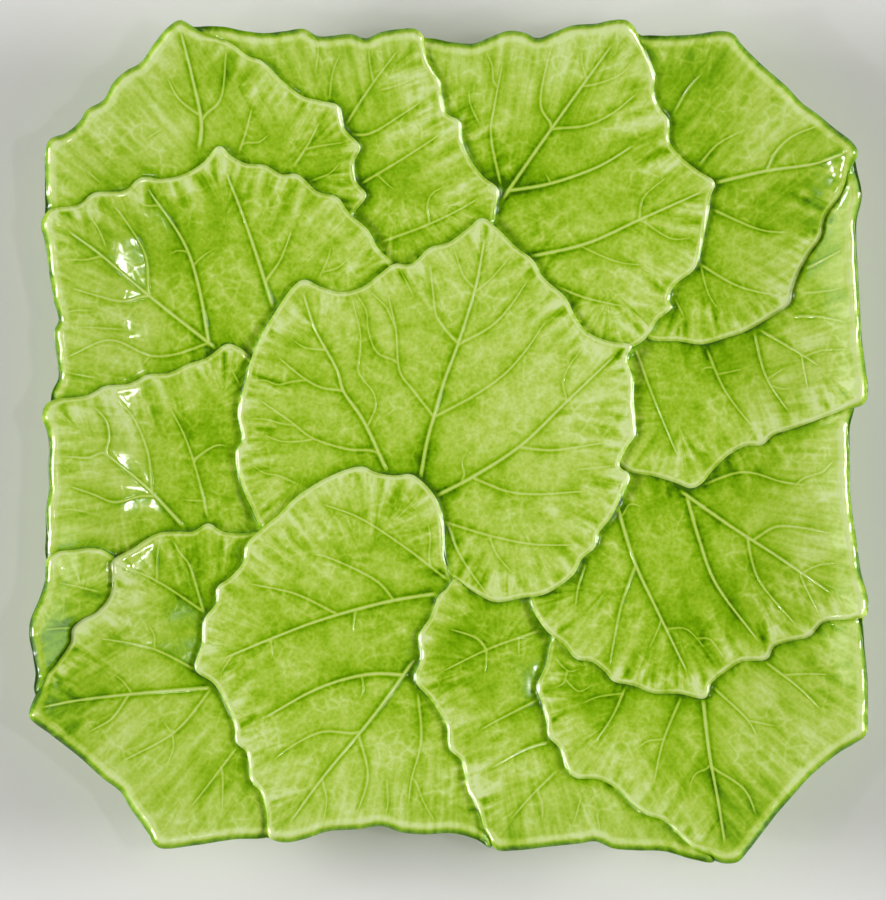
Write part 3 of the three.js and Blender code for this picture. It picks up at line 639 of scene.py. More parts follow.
            (44, 30, 8, -0.18), (40, 88, 7, -0.1), (40, 61, 8, -0.05),
        ),
    ),
)


def rim_share(x, y):
    """How far out points lie, from 0 at the middle to 1 on the rim of a square with clipped corners."""
    across = np.abs(x) / (PLATE_WIDTH / 2)
    along = np.abs(y) / (PLATE_WIDTH / 2)
    corner = (np.abs(x) + np.abs(y)) / (PLATE_WIDTH - CORNER_CUT)
    total = across**RIM_SHARPNESS + along**RIM_SHARPNESS + corner**RIM_SHARPNESS
    return total ** (1 / RIM_SHARPNESS)


def dish_underside(x, y):
    """Height of the dish's underside: a flat floor, then a rim that turns up ever more steeply."""
    well = WELL_WIDTH / PLATE_WIDTH
    outward = np.maximum(0, (rim_share(x, y) - well) / (1 - well))
    return FLOOR_UNDERSIDE + RIM_RISE * outward**2


def dish_top(x, y):
    return dish_underside(x, y) + DISH_WALL


def leaf_underside(x, y):
    return dish_top(x, y) + SEAT_GAP


def eased(value, low, high):
    """0 below low, 1 above high and a smooth rise between."""
    share = np.clip((value - low) / (high - low), 0, 1)
    return share * share * (3 - 2 * share)


def waves(across, along, kind):
    """Soft noise, about -1 to 1, of a kind: two wave lengths and a seed."""
    width, length, seed = kind
    places = zip((across / width).tolist(), (along / length).tolist())
    return np.array([noise.noise((a, b, seed)) for a, b in places])


def smooth_line(drawn, closed):
    """Fine points on a centripetal Catmull-Rom curve through the drawn ones."""
    drawn = np.array(drawn, float)
    before = drawn[-1:] if closed else 2 * drawn[:1] - drawn[1:2]
    after = drawn[:2] if closed else 2 * drawn[-1:] - drawn[-2:-1]
    padded = np.vstack((before, drawn, after))
    line = []
    for p0, p1, p2, p3 in zip(padded, padded[1:], padded[2:], padded[3:]):
        gaps = [math.sqrt(math.dist(a, b)) for a, b in ((p0, p1), (p1, p2), (p2, p3))]
        t0, t1, t2, t3 = np.cumsum([0.0] + gaps)
        t = np.linspace(t1, t2, SPAN_POINTS, endpoint=False)[:, None]
        a1 = ((t1 - t) * p0 + (t - t0) * p1) / (t1 - t0)
        a2 = ((t2 - t) * p1 + (t - t1) * p2) / (t2 - t1)
        a3 = ((t3 - t) * p2 + (t - t2) * p3) / (t3 - t2)
        b1 = ((t2 - t) * a1 + (t - t0) * a2) / (t2 - t0)
        b2 = ((t3 - t) * a2 + (t - t1) * a3) / (t3 - t1)
        line.append(((t2 - t) * b1 + (t - t1) * b2) / (t2 - t1))
    if not closed:
        line.append(drawn[-1:])
    return np.vstack(line)


def lengths_along(line):
    return np.concatenate(([0.0], np.cumsum(np.hypot(*np.diff(line, axis=0).T))))


def even_steps(line, step, closed):
    """The same line in even steps."""
    if closed:
        line = np.vstack((line, line[:1]))
    along = lengths_along(line)
    count = max(2, round(along[-1] / step))
    places = np.linspace(0, along[-1], count + 1)
    if closed:
        places = places[:-1]
    return np.stack([np.interp(places, along, values) for values in line.T], 1)


def left_of(line, closed):
    """Unit vectors to the left of a line's points."""
    if closed:
        darkest_shade = np.roll(line, -1, axis=0) - np.roll(line, 1, axis=0)
    else:
        darkest_shade = np.gradient(line, axis=0)
    left = np.stack((-darkest_shade[:, 1], darkest_shade[:, 0]), 1)
    return left / np.hypot(*left.T)[:, None]


def spread_out(values, count):
    """Means of a closed row of values over so many neighbours to each side."""
    return np.mean([np.roll(values, shift, axis=0) for shift in range(-count, count + 1)], 0)


class Margin:
    """A leaf's closed margin, which runs with the leaf on its left."""

    def __init__(self, line):
        turn = line[:, 0] * np.roll(line[:, 1], -1) - line[:, 1] * np.roll(line[:, 0], -1)
        if turn.sum() < 0:
            line = line[::-1]
        self.line = even_steps(line, LINE_STEP, True)
        self.left = left_of(self.line, True)
        self.darkest_shade = np.roll(self.line, -1, axis=0) - self.line
        self.length = np.hypot(*self.darkest_shade.T)
        self.along = np.cumsum(self.length) - self.length
        before = np.roll(self.darkest_shade, 1, axis=0)
        bend = (before[:, 0] * self.darkest_shade[:, 1] - before[:, 1] * self.darkest_shade[:, 0]) / self.length**3
        self.teeth = np.clip(spread_out(bend, TOOTH_BLEND) / TOOTH_BEND, 0, 1)
        self.tree = kdtree.KDTree(len(self.line))
        for index, (x, y) in enumerate(self.line.tolist()):
            self.tree.insert((x, y, 0.0), index)
        self.tree.balance()

    def near(self, spots):
        """How deep points lie inside the margin, less than 0 outside it, and how far along it."""
        find = self.tree.find
        nearest = np.array([find((x, y, 0.0))[1] for x, y in spots.tolist()], int)
        depth = np.full(len(spots), np.inf)
        along = np.zeros(len(spots))
        for start in (nearest - 1, nearest):
            darkest_shade = self.darkest_shade[start]
            offset = spots - self.line[start]
            share = np.clip((offset * darkest_shade).sum(1) / self.length[start] ** 2, 0, 1)
            away = np.hypot(*(offset - darkest_shade * share[:, None]).T)
            side = np.sign(darkest_shade[:, 0] * offset[:, 1] - darkest_shade[:, 1] * offset[:, 0])
            closer = away < np.abs(depth)
            depth[closer] = (away * side)[closer]
            along[closer] = (self.along[start] + share * self.length[start])[closer]
        return depth, along

    def read(self, values, along):
        """Values that go with the margin's points, at places along it."""
        return np.interp(along, self.along, values, period=self.length.sum())

    def outward(self, along):
        """Unit vectors out of the leaf at places along the margin."""
        return -np.stack([self.read(values, along) for values in self.left.T], 1)


class Vein:
    """A vein from base to tip."""

    def __init__(self, rank, drawn, rooted):
        self.rank = rank
        self.rooted = rooted
        self.line = even_steps(smooth_line(drawn, False), LINE_STEP, False)
        self.left = left_of(self.line, False)
        self.share = np.linspace(0, 1, len(self.line))
        self.length = lengths_along(self.line)[-1]

    def weight(self, least):
        """1 for a main vein and less for a finer one, down towards the least."""
        return least + (1 - least) * self.rank

    def half_width(self, share, sizes):
        return sizes.vein_width / MM / 2 * self.weight(LEAST_WIDTH) * (1 - WIDTH_LOSS * share)

    def presence(self, share):
        """1 along most of the vein, less towards its tip and towards a base that is on no other vein."""
        tip = eased((1 - share) * self.length, 0, END_FADE)
        return tip if self.rooted else tip * eased(share * self.length, 0, END_FADE)

    def near(self, spots):
        """Distance of points from the vein, and their share of the way to its tip."""
        darkest_shade = np.diff(self.line, axis=0)
        offset = spots[:, None] - self.line[None, :-1]
        part = np.clip((offset * darkest_shade).sum(2) / (darkest_shade * darkest_shade).sum(1), 0, 1)
        away = np.hypot(*np.moveaxis(offset - darkest_shade * part[..., None], 2, 0))
        closest = away.argmin(1)
        rows = np.arange(len(spots))
        return away[rows, closest], (closest + part[rows, closest]) / len(darkest_shade)


class Leaf:
    """One leaf as drawn: its margin, its veins and, once all are drawn, the margins that lie over it."""

    def __init__(self, drawing):
        self.name = drawing["name"]
        self.under = drawing["under"]
        self.margin = Margin(smooth_line(drawing["outline"], True))
        self.sweep = Margin(spread_out(self.margin.line, SWEEP_BLEND))
        self.veins = []
        for rank, drawn in drawing["veins"]:
            self.veins.append(self.grown(rank, drawn))
        self.pools = drawing["pools"]
        self.covers = []
        self.rim = None

    def grown(self, rank, drawn):
        """A vein, begun on the one that it branches from if that is near, or else a little way back."""
        nearest = BRANCH_REACH
        root = None
        for vein in self.veins if rank < MAIN else ():
            away = np.hypot(*(vein.line - drawn[0]).T)
            if away.min() < nearest and away.argmin() > BRANCH_START:
                nearest = away.min()
                root = vein.line[max(0, away.argmin() - round(nearest / LINE_STEP))]
        if root is None:
            back = np.subtract(drawn[0], drawn[1]) * BASE_REACH / math.dist(*drawn[:2])
            return Vein(rank, (drawn[0] + back, *drawn[1:]), False)
        return Vein(rank, (root, *(drawn if nearest > SAME_POINT else drawn[1:])), True)

    def find_rim(self, others):
        """Mark the stretches of the margin that no other leaf lies beside: the plate's own rim."""
        beyond = self.margin.line - self.margin.left * RIM_LOOK
        free = np.ones(len(beyond))
        for other in others:
            free[other.near(beyond)[0] > 0] = 0
        self.rim = spread_out(free, RIM_BLEND)

    def on_rim(self, along):
        """1 where the margin is the plate's rim, 0 where it lies on another leaf."""
        return self.margin.read(self.rim, along)

    def lie(self, spots):
        """How points lie: depth in the margin, place along it, distance from the leaves above, laps."""
        edge, along = self.margin.near(spots)
        lap = np.full(len(spots), FAR)
        laps = np.zeros(len(spots))
        for cover in self.covers:
            away = -cover.near(spots)[0]
            lap = np.minimum(lap, away)
            laps += (1 - np.clip(away / LAP_REACH, 0, 1)) ** 2
        return edge, along, lap, np.minimum(laps, MOST_LAPS)

    def pooled(self, spots):
        """How much thicker than elsewhere the glaze lies."""
        depth = np.zeros(len(spots))
        for x, y, reach, thickness in self.pools:
            depth += thickness * np.exp(-(((spots - (x, y)) / reach) ** 2).sum(1))
        return depth

    def vein_relief(self, spots, sizes):
        """Height of the veins, how far they show in the glaze, the hollows beside them, and a dark line of
        painted shade and gathered glaze along each side.
        """
        ridge, mark, hollow, vein_pool_and_shade = np.zeros((4, len(spots)))
        for vein in self.veins:
            low = vein.line.min(0) - VEIN_REACH
            high = vein.line.max(0) + VEIN_REACH
            near = np.flatnonzero(((spots > low) & (spots < high)).all(1))
            if not len(near):
                continue
            away, share = vein.near(spots[near])
            half = vein.half_width(share, sizes)
            bump = np.clip(1 - (away / half) ** 2, 0, 1) ** 2
            presence = vein.presence(share)
            strength = vein.weight(LEAST_MARK) * presence
            height = sizes.vein_height / MM * vein.rank * presence * (1 - HEIGHT_LOSS * share)
            ridge[near] = np.maximum(ridge[near], bump * height)
            mark[near] = np.maximum(mark[near], bump**MARK_POWER * strength)
            dip = np.exp(-((away / sizes.hollow_reach * MM) ** 2))
            hollow[near] = np.maximum(hollow[near], dip * vein.rank * (1 - HOLLOW_LOSS * share))
            # A dark line along each side of the vein: painted shade, with glaze gathered there
            groove = np.exp(-(((away - VEIN_LINE_PLACE * half) / VEIN_LINE_REACH) ** 2))
            vein_pool_and_shade[near] = np.maximum(vein_pool_and_shade[near], groove * strength)
        return ridge, mark, hollow, vein_pool_and_shade * (1 - mark)


def draw_leaves():
    leaves = {drawing["name"]: Leaf(drawing) for drawing in LEAVES}
    for leaf in leaves.values():
        leaf.covers = [leaves[name].margin for name in leaf.under]
        leaf.find_rim([other.margin for other in leaves.values() if other is not leaf])
    return leaves


def between(pair, rim):
    """The first of a pair at a step between leaves, the second on the plate's rim."""
    return pair[0] + (pair[1] - pair[0]) * rim


def lip_width(rim, sizes):
    """Width of a leaf's bevelled edge: wide on the plate's rim, slim where leaf lies on leaf."""
    return between((sizes.step_lip, sizes.rim_lip), rim) / MM


def edge_fall(leaf, spots, edge, along, rim, lip, sizes):
    """How far a leaf falls towards its margin: an uneven bevel that ends in a rounded nose."""
    fall = 1 - np.clip(edge / lip, 0, 1)
    rise = leaf_underside(*(spots + leaf.margin.outward(along)).T) - leaf_underside(*spots.T)
    steepness = between(BEVEL_STEEPNESS, rim) + between(BEVEL_WAVER, rim) * waves(along, edge, BEVEL_WAVES)
    slope = np.maximum(sizes.bevel_slope * steepness + rise, LEAST_SLOPE)
    shoulder = between(SHOULDER, rim) + between(SHOULDER_WAVER, rim) * waves(along, edge, SHOULDER_WAVES)
    shoulder = np.clip(shoulder, *SHOULDER_LIMITS)
    bevel = slope * np.where(fall < shoulder, fall**2 / (2 * shoulder), fall - shoulder / 2)
    nose = between(NOSE, rim)
    rounded = np.clip(1 - (1 - fall) / nose, 0, 1)
    return lip * (bevel + nose * (1 - np.sqrt(1 - rounded**2)))


def unevenness(spots, edge, along, sizes):
    """Ripples along a leaf's margin, soft swells all over it and waves in the plate's rim."""
    x, y = spots.T
    fringe = np.exp(-np.maximum(edge, 0) / RIPPLE_REACH)
    ripple = sizes.ripple / MM * waves(along, edge, RIPPLES) * fringe
    swell = sizes.swell / MM * (waves(x, y, SWELLS) + SMALL_SWELL_SHARE * waves(x, y, SMALL_SWELLS))
    on_rim = eased(rim_share(x, y), *RIM_WAVE_ZONE)
    return ripple + swell + sizes.rim_wave / MM * waves(x, y, RIM_WAVES) * on_rim


def upper_face(leaf, spots, sizes):
    """Heights of a leaf's upper face and the marks that its glaze and painted shade follow."""
    edge, along, lap, laps = leaf.lie(spots)
    ridge, vein, hollow, vein_pool_and_shade = leaf.vein_relief(spots, sizes)
    rim = leaf.on_rim(along)
    lip = lip_width(rim, sizes)
    body = LEAF_BED + LEAF_STEP * (MOST_LAPS - laps)
    rounding = np.minimum(edge_fall(leaf, spots, edge, along, rim, lip, sizes), MOST_FALL * body)
    curl = sizes.edge_curl / MM * np.exp(-((edge / lip - CURL_PLACE) ** 2))
    clear = eased(lap, *STEP_CLEARANCE)
    uneven = unevenness(spots, edge, along, sizes)
    relief = (ridge + curl + uneven - sizes.hollow_depth / MM * hollow) * clear
    tucked = np.clip(lap / (sizes.fillet / MM), 0, 1)
    fillet = sizes.fillet_rise / MM * (1 - tucked) ** 2 + TUCK_SLOPE * np.minimum(lap, 0)
    heights = leaf_underside(*spots.T) + body + relief - rounding + fillet

    outward = rim_share(*spots.T)
    inside = np.maximum(edge, 0)
    tip_fade = np.exp(-inside / TOOTH_REACH) + TOOTH_WASH * np.exp(-inside / TOOTH_WASH_REACH)
    # A ring of painted shade where the rim begins to rise
    rim_foot_shade = np.exp(-(((outward - RIM_FOOT) / RIM_FOOT_REACH) ** 2))
    marks = dict(
        edge=edge,
        lip=edge / lip,
        lap=lap,
        rim=rim,
        sweep=leaf.sweep.near(spots)[1],
        outward=outward,
        vein=vein * clear,
        hollow=hollow,
        vein_pool_and_shade=vein_pool_and_shade * clear,
        tooth=leaf.margin.read(leaf.margin.teeth, along) * tip_fade,
        # pooled glaze, with the ring of painted shade at the rim's foot
        pool=leaf.pooled(spots) + RIM_FOOT_SHADE * rim_foot_shade,
    )
    return heights, marks


def clear_of(spots, taken, gap):
    """The points that stay about a gap away from the ones already taken."""
    used = np.floor(taken / gap).astype(np.int64) @ (CELL_ROW, 1)
    cells = np.floor(spots / gap).astype(np.int64)
    free = np.ones(len(spots), bool)
    for across in (-1, 0, 1):
        for along in (-1, 0, 1):
            free &= ~np.isin((cells + (across, along)) @ (CELL_ROW, 1), used)
    return spots[free]


def hex_grid(low, high, step):
    """Even points over a box, in rows set off by half a step."""
    rows = np.arange(low[1], high[1], step * math.sqrt(0.75))
    columns = np.arange(low[0], high[0], step)
    return np.array([(x + step / 2 * (i % 2), y) for i, y in enumerate(rows) for x in columns])


def loop_edges(first, count):
    return [(first + i, first + (i + 1) % count) for i in range(count)]


def triangulated(spots, edges, inside_only):
    """Delaunay triangles over points, which keep to the given edges, all turned upward."""
    extent = 1 if inside_only else 0
    corners = [Vector(spot) for spot in spots.tolist()]
    points, _, faces, origins, _, _ = delaunay_2d_cdt(corners, edges, [], extent, MERGE_GAP)
    points = np.array([point[:] for point in points])
    faces = np.array(faces)
    a, b, c = (points[faces[:, i]] for i in range(3))
    turned = np.cross(b - a, c - a) < 0
    faces[turned] = faces[turned][:, ::-1]
    return points, faces, origins


def plan_points(leaf, sizes):
    """Points over the part of a leaf that shows, and the edges that its mesh has to keep."""
    tuck = sizes.tuck / MM
    margin = leaf.margin
    edges = loop_edges(0, len(margin.line))
    fixed = [margin.line]
    count = len(margin.line)
    for cover in leaf.covers:
        cut = even_steps(cover.line + cover.left * tuck, CUT_STEP, True)
        kept = margin.near(cut)[0] > -CUT_OVERRUN
        number = np.cumsum(kept) - 1 + count
        after = np.roll(np.arange(len(cut)), -1)
        edges += [(number[i], number[after[i]]) for i in np.flatnonzero(kept & kept[after])]
        fixed.append(cut[kept])
        count += kept.sum()
    fixed = np.vstack(fixed)
    lip = lip_width(leaf.rim, sizes)[:, None]
    beside = [margin.line + margin.left * lip * share for share in EDGE_ROWS]
    fillet = sizes.fillet / MM
    filleted = [cover.line - cover.left * fillet * share for cover in leaf.covers for share in FILLET_ROWS]
    filleted += [cover.line for cover in leaf.covers]
    veined = []
    for vein in leaf.veins:
        half = vein.half_width(vein.share, sizes)[:, None]
        veined += [vein.line + vein.left * half * share for share in VEIN_ROWS]
    low = margin.line.min(0)
    high = margin.line.max(0)
    taken = fixed
    for family, gap in ((beside, 0.0), (filleted, FILLET_GAP), (veined, VEIN_GAP), ([], FIELD_GAP)):
        spots = np.vstack(family) if family else hex_grid(low, high, sizes.mesh_step / MM)
        if gap:
            spots = clear_of(spots, taken, gap)
        edge, _, lap, _ = leaf.lie(spots)
        inside = (edge > ON_LINE) & (lap > ON_LINE - tuck)
        if not gap:
            wanted = np.concatenate([lip[:, 0] * share for share in EDGE_ROWS])
            inside &= np.abs(edge - wanted) < ROW_SLACK
        taken = np.vstack((taken, spots[inside]))
    return taken, edges


def visible_faces(leaf, points, faces, tuck):
    """The faces that lie on the leaf and not under another, in one piece."""
    def measure(spots):
        edge, _, lap, _ = leaf.lie(spots)
        return np.minimum(edge, lap + tuck)

    depth = measure(points)[faces]
    inside = (depth > ON_LINE).any(1)
    outside = (depth < -ON_LINE).any(1)
    unsure = np.flatnonzero(inside == outside)
    inside[unsure] = measure(points[faces[unsure]].mean(1)) > 0
    kept = faces[inside]
    label = np.arange(len(points))
    while True:
        least = label[kept].min(1)
        lower = label.copy()
        for corner in range(3):
            np.minimum.at(lower, kept[:, corner], least)
        lower = lower[lower]
        if (lower == label).all():
            break
        label = lower
    owner = label[kept[:, 0]]
    owners, counts = np.unique(owner, return_counts=True)
    return kept[owner == owners[counts.argmax()]]


def border_of(faces, count):
    """The border of a sheet of faces as one loop of points."""
    starts = faces.ravel()
    ends = np.roll(faces, -1, axis=1).ravel()
    open_edges = ~np.isin(starts * count + ends, ends * count + starts)
    follow = dict(zip(starts[open_edges].tolist(), ends[open_edges].tolist()))
    if len(follow) != open_edges.sum():
        raise RuntimeError("a sheet's border touches itself")
    loop = [next(iter(follow))]
    while follow[loop[-1]] != loop[0]:
        loop.append(follow[loop[-1]])
    if len(loop) != len(follow):
        raise RuntimeError("a sheet has more than one border")
    return np.array(loop)


def wall_faces(upper, lower):
    """Faces between a loop and the one below it; loops run with the piece on their left."""
    return np.stack((upper, lower, np.roll(lower, -1), np.roll(upper, -1)), 1)


def cap_points(loop, step):
    """Points over the inside of a loop, and downward faces between them."""
    grid = hex_grid(loop.min(0), loop.max(0), step)
    inside = np.zeros(len(grid), bool)
    x, y = grid.T
    for (ax, ay), (bx, by) in zip(loop, np.roll(loop, -1, axis=0)):
        if ay != by:
            inside ^= ((ay > y) != (by > y)) & (x < ax + (y - ay) / (by - ay) * (bx - ax))
    grid = clear_of(grid[inside], loop, CAP_CLEARANCE * step)
    spots = np.vstack((loop, grid))
    points, faces, origins = triangulated(spots, loop_edges(0, len(loop)), True)
    if any(not origin for origin in origins):
        raise RuntimeError("a cap's loop crosses itself")
    number = np.array([min(origin) for origin in origins])
    return grid, number[faces][:, ::-1]


class Shell:
    """A closed mesh in the making: points with marks, and faces."""

    def __init__(self, points, marks, faces):
        self.points = points
        self.marks = marks
        self.faces = [face.tolist() for face in faces]

    def add(self, points, marks):
        """Add points with their marks and give their numbers."""
        first = len(self.points)
        self.points = np.vstack((self.points, points))
        for name in self.marks:
            self.marks[name] = np.concatenate((self.marks[name], marks[name]))
        return np.arange(first, first + len(points))

    def join(self, faces):
        self.faces += faces.tolist()


def leaf_shell(leaf, sizes):
    """A leaf as a closed mesh: upper face, rounded edge, wall and underside."""
    points, edges = plan_points(leaf, sizes)
    points, faces, _ = triangulated(points, edges, False)
    faces = visible_faces(leaf, points, faces, sizes.tuck / MM)
    used, faces = np.unique(faces, return_inverse=True)
    points = points[used]
    faces = faces.reshape(-1, 3)
    heights, marks = upper_face(leaf, points, sizes)
    border = border_of(faces, len(points))
    shell = Shell(np.column_stack((points, heights)), marks, faces)
    loop = points[border]
    inward = left_of(loop, True)
    free = ((marks["edge"][border] < ON_MARGIN) & (marks["lap"][border] > -ON_MARGIN)).astype(float)
    free = (np.roll(free, 1) + free + np.roll(free, -1)) / 3
    bed = leaf_underside(*loop.T)
    room = heights[border] - bed
    under_lip = np.minimum(between(UNDER_LIP, marks["rim"][border]), LIP_ROOM * room)
    upper = border
    for turn in UNDER_LIP_TURNS:
        inset = under_lip * (1 - math.cos(math.radians(turn))) * free
        height = bed + under_lip * (1 - math.sin(math.radians(turn)))
        below = heights[border] - height
        lower_marks = {name: values[border] for name, values in marks.items()}
        lower_marks["edge"] = -below
        lower_marks["lip"] = -below
        lower = shell.add(np.column_stack((loop + inward * inset[:, None], height)), lower_marks)
        shell.join(wall_faces(upper, lower))
        upper = lower
    grid, cap = cap_points(shell.points[upper, :2], CAP_STEP)
    hidden = {name: np.full(len(grid), HIDDEN) for name in marks}
    inner = shell.add(np.column_stack((grid, leaf_underside(*grid.T))), hidden)
    shell.join(np.concatenate((upper, inner))[cap])
    return shell


def headings(count):
    """Unit vectors in even steps all round."""
    turns = np.linspace(0, 2 * math.pi, count, endpoint=False)
    return np.stack((np.cos(turns), np.sin(turns)), 1)


def leaf_reach(leaves, directions):
    """How far the leaves reach from the middle in each direction."""
    reach = np.zeros(len(directions))
    for leaf in leaves.values():
        line = leaf.margin.line
        ahead = np.roll(line, -1, axis=0)
        for i, (across, along) in enumerate(directions):
            side_a = across * line[:, 1] - along * line[:, 0]
            side_b = across * ahead[:, 1] - along * ahead[:, 0]
            crossed = (side_a > 0) != (side_b > 0)
            share = side_a[crossed] / (side_a[crossed] - side_b[crossed])
            crossing = line[crossed] + (ahead - line)[crossed] * share[:, None]
            reach[i] = max(reach[i], (crossing @ directions[i]).max(initial=0))
    return reach


def dish_shell(leaves, sizes):
    """The dish and the slip on it as a closed mesh, whose edge follows the leaves a little way in."""
    directions = headings(DISH_TURNS)
    reach = leaf_reach(leaves, directions)
    spread = np.stack([np.roll(reach, shift) for shift in range(-DISH_BLEND, DISH_BLEND + 1)])
    reach = np.minimum(spread.mean(0), spread.min(0) + DISH_SLACK) - sizes.dish_inset / MM
    wall = DISH_WALL + SEAT_GAP * SLIP_SHARE
    crown = sizes.dish_crown / MM
    keel = wall - crown
    shell = Shell(np.empty((0, 3)), {}, [])
    rings = []
    for turn in range(90, -91, -DISH_EDGE_TURN):
        radius = crown if turn > 0 else keel
        inset = radius * (1 - math.cos(math.radians(turn)))
        loop = directions * (reach - inset)[:, None]
        height = dish_underside(*loop.T) + keel + radius * math.sin(math.radians(turn))
        rings.append(shell.add(np.column_stack((loop, height)), {}))
    for upper, lower in zip(rings, rings[1:]):
        shell.join(wall_faces(upper, lower))
    for ring, lift, step in ((rings[0], wall, DISH_TOP_STEP), (rings[-1], 0.0, DISH_UNDERSIDE_STEP)):
        grid, cap = cap_points(shell.points[ring, :2], step)
        inner = shell.add(np.column_stack((grid, dish_underside(*grid.T) + lift)), {})
        faces = np.concatenate((ring, inner))[cap]
        shell.join(faces[:, ::-1] if lift else faces)
    return shell


def foot_section(wall, height, rounding):
    """Section of the foot, as places across its wall and up: rounded below and a little slimmer above."""
    turn = np.radians(np.linspace(0, 90, FOOT_CORNER_POINTS))
    near = rounding * (1 - np.cos(turn))
    far = rounding * (1 - np.sin(turn))
    outside = zip(wall - far, near)
    inside = zip(near, far)
    return [*outside, (wall - FOOT_INSET, height), (FOOT_INSET, height), *inside]


def foot_shell(sizes):
    """The foot as a closed ring of the plate's own shape, with a rounded section."""
    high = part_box("foot_ring")[1]
    wall = sizes.foot_wall / MM
    inner = high.x / MM - wall
    directions = headings(FOOT_TURNS)
    unit = 1 / (rim_share(*directions.T) * PLATE_WIDTH / 2)
    shell = Shell(np.empty((0, 3)), {}, [])
    rings = []
    for across, up in foot_section(wall, high.z / MM, sizes.foot_rounding / MM):
        loop = directions * (unit * (inner + across))[:, None]
        rings.append(shell.add(np.column_stack((loop, np.full(len(loop), up))), {}))
    for ring, following in zip(rings, rings[1:] + rings[:1]):
        shell.join(wall_faces(following, ring))
    return shell


class Value:
    """A shader socket in Python's arithmetic: an expression on values adds its Math nodes."""

    def __init__(self, nodes, socket):
        self.nodes = nodes
        self.socket = socket

    def maths(self, operation, *inputs):
        return self.nodes.add("ShaderNodeMath", {"operation": operation}, dict(enumerate(inputs)))

    def __add__(self, other):
        return self.maths("ADD", self, other)

    def __radd__(self, other):
        return self.maths("ADD", other, self)

    def __sub__(self, other):
        return self.maths("SUBTRACT", self, other)

    def __rsub__(self, other):
        return self.maths("SUBTRACT", other, self)

    def __mul__(self, other):
        return self.maths("MULTIPLY", self, other)

    def __rmul__(self, other):
        return self.maths("MULTIPLY", other, self)

    def __truediv__(self, other):
        return self.maths("DIVIDE", self, other)

    def __rtruediv__(self, other):
        return self.maths("DIVIDE", other, self)

    def rising(self, low, high):
        """0 below low, 1 above high and a smooth rise between."""
        limits = {"From Min": low, "From Max": high}
        return self.nodes.add(
            "ShaderNodeMapRange", {"interpolation_type": "SMOOTHSTEP"}, {"Value": self, **limits}
        )

    def fading(self, reach):
        """1 at 0 and less, and ever less with distance."""
        return self.maths("EXPONENT", self.maths("MAXIMUM", self, 0.0) / -reach)


class Nodes:
    """The nodes of one material or world."""

    def __init__(self, tree):
        self.tree = tree
        tree.nodes.clear()

    def add(self, kind, settings, inputs, output=0):
        """Add a node of a type: its settings come first, then the values or links of its sockets."""
        node = self.tree.nodes.new(kind)
        for name, setting in settings.items():
            if name == "stops":
                set_stops(node.color_ramp, setting)
            else:
                setattr(node, name, setting)
        for name, given in inputs.items():
            if isinstance(given, Value):
                self.tree.links.new(given.socket, node.inputs[name])
            else:
                node.inputs[name].default_value = given
        return Value(self, node.outputs[output]) if len(node.outputs) else None

    def mark(self, name):
        """A mark that the mesh carries."""
        return self.add("ShaderNodeAttribute", {"attribute_name": name}, {}, "Fac")

    def plan(self):
        """Place on the plate."""
        return self.add("ShaderNodeTexCoord", {}, {}, "Object")

    def joined(self, across, along):
        """A place from two lengths."""
        return self.add("ShaderNodeCombineXYZ", {}, {"X": across, "Y": along})

    def vectors(self, operation, *inputs, output=0):
        return self.add("ShaderNodeVectorMath", {"operation": operation}, dict(enumerate(inputs)), output)

    def outward(self, place, width, length):
        """A place for streaks of a width and length in millimetres that run out from the middle."""
        flat = self.vectors("MULTIPLY", place, (1.0, 1.0, 0.0))
        reach = self.vectors("LENGTH", flat, output="Value")
        up = self.add("ShaderNodeCombineXYZ", {}, {"Z": reach / length})
        across = (STREAK_RADIUS / width * MM,) * 3
        return self.vectors("MULTIPLY_ADD", self.vectors("NORMALIZE", flat), across, up)

    def blotches(self, place, size, detail, output):
        """Noise of blotches about the given size in millimetres."""
        inputs = {"Vector": place, "Scale": 1 / (size * MM), "Detail": detail}
        return self.add("ShaderNodeTexNoise", {}, inputs, output)

    def clouds(self, place, size, detail=2.0):
        """Such noise as a number about 0."""
        return self.blotches(place, size, detail, "Fac") - 0.5

    def bent(self, place, size, reach):
        """A place moved about by such noise, so that what follows it isn't straight."""
        push = self.vectors("SUBTRACT", self.blotches(place, size, 1.0, "Color"), (0.5, 0.5, 0.5))
        return self.vectors("MULTIPLY_ADD", push, (reach * MM,) * 3, place)

    def streaks(self, along, inward, count_along, count_inward):
        """Clouds drawn out from a margin inward, by their count to a millimetre each way."""
        return self.clouds(self.joined(count_along * along * MM, count_inward * inward * MM), 1.0)

    def cracks(self, place, size):
        """Distance from the borders of irregular cells about the given size, as a share of it."""
        settings = {"feature": "DISTANCE_TO_EDGE", "voronoi_dimensions": "2D"}
        return self.add("ShaderNodeTexVoronoi", settings, {"Vector": place, "Scale": 1 / (size * MM)})

    def shaded(self, stops, share):
        return self.add("ShaderNodeValToRGB", {"stops": stops}, {"Fac": share})

    def bumped(self, height):
        """A surface's direction under a skin of a height in millimetres."""
        return self.add("ShaderNodeBump", {}, {"Strength": 1.0, "Distance": MM, "Height": height})

    def surface(self, inputs):
        shader = self.add("ShaderNodeBsdfPrincipled", {}, inputs)
        self.add("ShaderNodeOutputMaterial", {}, {"Surface": shader})


def set_stops(ramp, stops):
    """Give a colour ramp its stops."""
    while len(ramp.elements) > 1:
        ramp.elements.remove(ramp.elements[-1])
    for index, (place, colour) in enumerate(stops):
        element = ramp.elements[0] if index == 0 else ramp.elements.new(place)
        element.position = place
        element.color = colour


def new_material(name):
    material = bpy.data.materials.new(name)
    material.use_nodes = True
    return material, Nodes(material.node_tree)


